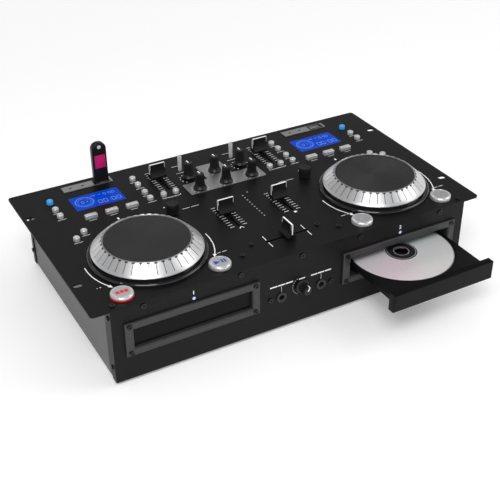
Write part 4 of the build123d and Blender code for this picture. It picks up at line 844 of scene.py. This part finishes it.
for side, sign in sides.items():
    front = door["front"] - door["travel"][side]
    w, h, t = door["width"], door["height"], door["thickness"]
    leaf = block((w, t, h))
    roundEdges(leaf, frontOf(leaf).edges[:], 1.1, 3)
    for inset, depth in ((1.2, 0), (0.3, -0.25)):
        bmesh.ops.inset_region(leaf, faces=[frontOf(leaf)], thickness=inset * mm, depth=depth * mm,
                               use_even_offset=True)
    whole = bmesh.new()
    put(whole, leaf, (sign * door["offset"], front + t / 2, door["middle"]))
    addPiece(f"trayDoor_{side}", whole, f"tray_{side}", ["doorBlack"], [f"tray_door_{side}"])

bezel = {"width": 155.0, "height": 41.0, "proud": 3.0, "opening": (136.5, 23.8), "edge": 0.8, "lip": 1.6,
         "sleeve": 12.0}
bezels = bmesh.new()
for sign in sides.values():
    width, height, proud, edge = bezel["width"], bezel["height"], bezel["proud"], bezel["edge"]
    openWidth, openHeight = bezel["opening"]
    lipWidth, lipHeight = openWidth + 2 * bezel["lip"], openHeight + 2 * bezel["lip"]
    backWidth, backHeight, sleeve = openWidth + 2, openHeight + 2, bezel["sleeve"]
    ring = framed([(width, height, 0.0), (width, height, edge - proud),
                   (width - 2 * edge, height - 2 * edge, -proud), (lipWidth, lipHeight, -proud),
                   (lipWidth - 0.8, lipHeight - 0.8, 0.6 - proud),
                   (openWidth + 0.4, openHeight + 0.4, 0.6 - proud), (openWidth, openHeight, 1.0 - proud),
                   (openWidth, openHeight, sleeve), (backWidth, backHeight, sleeve),
                   (backWidth, backHeight, 0.0)])
    put(bezels, ring, (sign * door["offset"], faceFront, door["middle"]))
addPiece("trayBezels", bezels, "case", ["bezelMetal"], ["tray_bezels"])
print("disc trays done")

# ---------- printed marks ----------
ink = 0.05


def bar(target, x0, y0, x1, y1, width, material=0):
    # a straight mark on the panel between two points measured from its front edge
    length = hypot(x1 - x0, y1 - y0)
    angle = degrees(atan2(y1 - y0, x1 - x0))
    middle = fromFront((x0 + x1) / 2, (y0 + y1) / 2, ink / 2)
    put(target, block((length, width, ink)), middle, spun(angle), material)


def speck(radius, steps):
    return turned([(0, 0), (radius, 0), (radius, ink), (0, ink)], steps=steps)


def arc(target, center, radius, start, end, width):
    # a curved line on the panel, between two angles about a centre
    strip = bmesh.new()
    a = strip.verts.new(((radius - width / 2) * mm, 0, 0))
    b = strip.verts.new(((radius + width / 2) * mm, 0, 0))
    edge = strip.edges.new((a, b))
    bmesh.ops.rotate(strip, cent=(0, 0, 0), matrix=Matrix.Rotation(radians(start), 3, "Z"), verts=[a, b])
    bmesh.ops.spin(strip, geom=[a, b, edge], cent=(0, 0, 0), axis=(0, 0, 1),
                   angle=radians(end - start), steps=14)
    bmesh.ops.translate(strip, vec=(0, 0, ink * mm), verts=pushOut(strip, strip.faces[:]))
    setNormals(strip)
    put(target, strip, fromFront(center[0], center[1]))


def arrowHead(target, x, y, angle, size):
    head = outlined([(0, size * 0.42), (size, 0), (0, -size * 0.42)], ink)
    put(target, head, fromFront(x, y, ink / 2), spun(angle) @ spun(90, "X"))


marks = bmesh.new()
arrow = {"width": 1.1, "head": 5.4}
arrowEnds = ((-1, (-216.9, 83.8, -203.8, 41.9)), (-1, (-73.7, 82.2, -85.9, 41.6)),
             (1, (75.2, 80.3, 88.6, 39.8)), (1, (218.7, 82.8, 203.5, 40.1)))
for sign, (x0, y0, x1, y1) in arrowEnds:
    # curved arrows beside the jog wheels, from one end to the other about the wheel's middle
    cx, cy = sign * jog["x"], jog["y"] - panelFront
    startAngle = degrees(atan2(y0 - cy, x0 - cx))
    endAngle = degrees(atan2(y1 - cy, x1 - cx))
    endAngle -= 360 * round((endAngle - startAngle) / 360)
    radius = (hypot(x0 - cx, y0 - cy) + hypot(x1 - cx, y1 - cy)) / 2
    arc(marks, (cx, cy), radius, startAngle, endAngle, arrow["width"])
    tip = radians(endAngle)
    heading = endAngle + (90 if endAngle > startAngle else -90)
    arrowHead(marks, cx + radius * cos(tip), cy + radius * sin(tip), heading, arrow["head"])

# labels stand as grey bars: those in two words, then the plain ones that both sides have
twoWordLabels = ((-218.0, -213.0, 42.5), (-81.8, -70.7, 41.0), (75.7, 90.2, 40.5), (207.3, 220.7, 41.0),
                 (-74.1, -53.2, 142.0), (53.2, 74.1, 142.0))
for x0, x1, y in twoWordLabels:
    middle = (x0 + x1) / 2
    bar(marks, x0, y, middle - 1.2, y, 1.0, 1)
    bar(marks, middle + 0.6, y, x1, y, 1.0, 1)
plainLabels = ((91.5, 102.0, 0.9, (174.6, 190.4, 210.2, 227.0)), (197.0, 207.0, 0.9, (187.2, 203.0)),
               (186.0, 195.0, 0.9, (143.0,)), (198.0, 208.0, 0.9, (132.6,)), (26.0, 44.0, 0.8, (221.5,)),
               (28.0, 42.0, 0.8, (239.5,)))
whiteLines = ((60.5, 174.0, 83.0, 174.0, 0.6), (60.5, 173.7, 60.5, 176.2, 0.6),
              (83.0, 173.7, 83.0, 176.2, 0.6), (145.8, 156.8, 145.8, 160.8, 2.2))
whiteDot = {"x": 90.8, "y": 155.9, "radius": 0.9}
for sign in sides.values():
    for x0, x1, width, rows in plainLabels:
        for y in rows:
            bar(marks, sign * x0, y, sign * x1, y, width, 1)
    for x0, y0, x1, y1, width in whiteLines:
        bar(marks, sign * x0, y0, sign * x1, y1, width)
    for x, y in trackPlaces:
        bar(marks, sign * x - 4.5, y - 6.2, sign * x + 4.5, y - 6.2, 0.8, 1)
    put(marks, speck(whiteDot["radius"], 12), fromFront(sign * whiteDot["x"], whiteDot["y"]))
faderTicks = {"rows": 10, "pitch": 5.2, "inner": 5.0, "outer": 10.5, "width": 0.6}
for x, y in ((-35.0, 103.0), (35.0, 103.0), (-67.6, 216.0), (73.6, 216.0)):
    for row in range(faderTicks["rows"]):
        tickY = y + (row - (faderTicks["rows"] - 1) / 2) * faderTicks["pitch"]
        for way in (-1, 1):
            bar(marks, x + way * faderTicks["inner"], tickY, x + way * faderTicks["outer"], tickY,
                faderTicks["width"])

# signs at the ends of the faders' ways: upright lines, a small roof and a square
faderSigns = ((-23.5, 46.4, -23.5, 37.6, 0.9), (-23.5, 32.6, -23.5, 23.0, 0.9),
              (25.6, 46.4, 25.6, 37.6, 0.9), (25.6, 32.6, 25.6, 23.0, 0.9),
              (-36.6, 73.0, -34.0, 76.4, 0.9), (-34.0, 76.4, -31.4, 73.0, 0.9),
              (34.2, 74.3, 37.6, 74.3, 3.2))
for x0, y0, x1, y1, width in faderSigns:
    bar(marks, x0, y0, x1, y1, width)
dots = {"count": 11, "start": -50, "step": 28}
column, frontRow, backRow = knob["column"], knob["frontRow"], knob["backRow"]
for x, y, radius, size, z in ((-column, backRow, 10.6, 0.7, 0), (column, backRow, 10.6, 0.7, 0),
                              (0, backRow, 10.0, 0.55, 0.8), (-column, frontRow, 10.0, 0.55, 0.8),
                              (0, frontRow, 10.0, 0.55, 0.8), (column, frontRow, 10.0, 0.55, 0.8)):
    for step in range(dots["count"]):
        angle = radians(dots["start"] + dots["step"] * step)
        put(marks, speck(size, 12), fromFront(x + radius * cos(angle), y + radius * sin(angle), z))
addPiece("panelMarks", marks, "case", ["whitePrint", "greyPrint"])


def writing(text, size, weight):
    # raised figures in a plain typeface, made bolder by their weight
    curve = bpy.data.curves.new("figures", "FONT")
    curve.body = text
    curve.size = size * mm
    curve.align_x = "CENTER"
    curve.extrude = ink / 2 * mm
    curve.offset = weight * mm
    curve.resolution_u = 3
    holder = addObject("figures", curve)
    mesh = bpy.data.meshes.new_from_object(holder.evaluated_get(bpy.context.evaluated_depsgraph_get()))
    shape = bmesh.new()
    shape.from_mesh(mesh)
    bpy.data.objects.remove(holder)
    bpy.data.meshes.remove(mesh)
    bpy.data.curves.remove(curve)
    bmesh.ops.remove_doubles(shape, verts=shape.verts[:], dist=1e-7)
    return shape


front = {"jackX": 25.3, "jackZ": -52.0, "lampX": 130.0, "lampZ": -16.4, "figure": (6.4, 0.16),
         "figureZ": -11.8, "labelZ": -36.2, "labelPart": 9.0, "dots": 9, "dotsFrom": -150, "dotStep": 15,
         "dotRing": 11.0}
frontMarks = bmesh.new()
upright = spun(90, "X")
inkY = faceFront - ink / 2
for x0, x1 in ((-40.0, -10.4), (-3.6, 5.0), (11.8, 38.6)):
    parts = max(1, round((x1 - x0) / front["labelPart"]))
    step = (x1 - x0) / parts
    for part in range(parts):
        put(frontMarks, block((step - 0.9, ink, 1.5)), (x0 + step * (part + 0.5), inkY, front["labelZ"]))
for x, length, z in ((-front["jackX"], 8.0, -41.6), (front["jackX"], 8.0, -41.6), (0.7, 2.0, -38.4)):
    put(frontMarks, block((0.5, ink, length)), (x, inkY, z), material=1)
for sign, figure in ((-1, "1"), (1, "2")):
    place = (sign * front["lampX"], inkY, front["figureZ"])
    put(frontMarks, writing(figure, *front["figure"]), place, upright)
for step in range(front["dots"]):
    angle = radians(front["dotsFrom"] + front["dotStep"] * step)
    x, z = front["dotRing"] * sin(angle), knob["mixZ"] - front["dotRing"] * cos(angle)
    put(frontMarks, speck(0.5, 10), (x, faceFront, z), upright, material=1)
addPiece("frontMarks", frontMarks, "case", ["whitePrint", "greyPrint"])
print("marks done")

# ---------- sockets ----------
trims = bmesh.new()
for sign in sides.values():
    nut = turned([(3.3, 0.0), (6.0, 0.0), (6.2, 0.3), (6.2, 1.3), (5.8, 1.7), (3.6, 1.7), (3.3, 1.4),
                  (3.3, 0.0)], steps=40)
    put(trims, nut, (sign * front["jackX"], faceFront - 0.02, front["jackZ"]), upright)
    collar = turned([(1.7, 0.0), (2.9, 0.0), (2.9, 0.4), (2.6, 0.7), (1.9, 0.7), (1.7, 0.5), (1.7, 0.0)],
                    steps=32)
    put(trims, collar, (sign * front["lampX"], faceFront - 0.02, front["lampZ"]), upright)
addPiece("jackNuts", trims, "case", ["mouldBlack"])
phono = {"columns": (-87.0, -69.0, -51.0, -33.0), "rows": (-34.0, -52.0)}
phonoRings = bmesh.new()
for x in phono["columns"]:
    for row, z in enumerate(phono["rows"]):
        ring = turned([(4.3, 0.0), (6.2, 0.0), (6.2, 0.7), (5.9, 1.0), (4.3, 1.0), (4.3, 0.0)], steps=40)
        put(phonoRings, ring, (x, faceRear + 0.02, z), spun(-90, "X"), material=row)
addPiece("phonoRings", phonoRings, "case", ["ringWhite", "ringRed"])
print("sockets done")

# ---------- floor and light ----------
floor = {"half": 6.0, "lift": 0.2, "fadeFrom": 0.7, "fadeTo": 1.8}
floorMesh = bpy.data.meshes.new("floor")
floorShape = bmesh.new()
bmesh.ops.create_grid(floorShape, x_segments=1, y_segments=1, size=floor["half"])
bmesh.ops.translate(floorShape, vec=(0, 0, cadBox[0][2]), verts=floorShape.verts[:])
floorShape.to_mesh(floorMesh)
floorShape.free()
floorObject = addObject("floor", floorMesh)
floorPaint = bpy.data.materials.new("floorPaint")
floorPaint.use_nodes = True
tree = floorPaint.node_tree
path = addNode(tree, "LightPath")
isSeen = addNode(tree, "Math", {0: path.outputs["Is Camera Ray"], 1: path.outputs["Is Glossy Ray"]},
                 operation="MAXIMUM")
lift = addNode(tree, "Math", {0: isSeen, 1: floor["lift"]}, operation="MULTIPLY")
wire(tree, shaderOf(floorPaint), {
    "Base Color": (0.86, 0.86, 0.86, 1), "Roughness": 0.7, "Specular IOR Level": 0.2,
    "Emission Color": (1, 1, 1, 1), "Emission Strength": lift,
})
distance = addNode(tree, "VectorMath", {0: placeIn(tree)}, operation="LENGTH")
fade = addNode(tree, "MapRange", {"Value": distance.outputs["Value"], "From Min": floor["fadeFrom"],
                                  "From Max": floor["fadeTo"]})
farWhite = addNode(tree, "Emission")
blend = addNode(tree, "MixShader", {"Fac": fade, 1: shaderOf(floorPaint).outputs["BSDF"],
                                    2: farWhite})
wire(tree, tree.nodes["Material Output"], {"Surface": blend})
floorMesh.materials.append(floorPaint)

world = bpy.data.worlds.new("studio")
bpy.context.scene.world = world
world.use_nodes = True
tree = world.node_tree
tree.nodes.clear()
split = addNode(tree, "SeparateXYZ", {"Vector": placeIn(tree)})
ramp = addNode(tree, "ValToRGB", {"Fac": split.outputs["Z"]})
setStops(ramp, [(0.0, (1, 1, 1)), (0.4, (0.28, 0.28, 0.28)), (1.0, (0.16, 0.16, 0.16))])
soft = addNode(tree, "Background", {"Color": (1, 1, 1, 1), "Strength": 0.55})
white = addNode(tree, "Background", {"Color": (1, 1, 1, 1), "Strength": 1.0})
mirrored = addNode(tree, "Background", {"Color": ramp, "Strength": 1.0})
path = addNode(tree, "LightPath")
isMirrored = addNode(tree, "Math", {0: path.outputs["Is Glossy Ray"], 1: path.outputs["Is Transmission Ray"]},
                     operation="MAXIMUM")
indirect = addNode(tree, "MixShader", {"Fac": isMirrored, 1: soft, 2: mirrored})
direct = addNode(tree, "MixShader", {"Fac": path.outputs["Is Camera Ray"], 1: indirect,
                                     2: white})
addNode(tree, "OutputWorld", {"Surface": direct})

lamps = {
    "key": {"place": (-0.9, -1.3, 1.9), "size": (1.2, 0.9), "power": 30.0},
    "fill": {"place": (1.6, -0.6, 1.4), "size": (1.2, 1.2), "power": 10.0},
    "back": {"place": (0.5, 1.9, 2.2), "size": (1.6, 0.7), "power": 5.0},
}
for name, lamp in lamps.items():
    data = bpy.data.lights.new(name, "AREA")
    data.shape = "RECTANGLE"
    data.size, data.size_y = lamp["size"]
    data.energy = lamp["power"]
    turn = (-Vector(lamp["place"])).to_track_quat("-Z", "Y").to_matrix().to_4x4()
    addObject(name, data).matrix_world = Matrix.Translation(lamp["place"]) @ turn
bpy.context.scene.view_settings.view_transform = "Standard"
print("light and floor done")
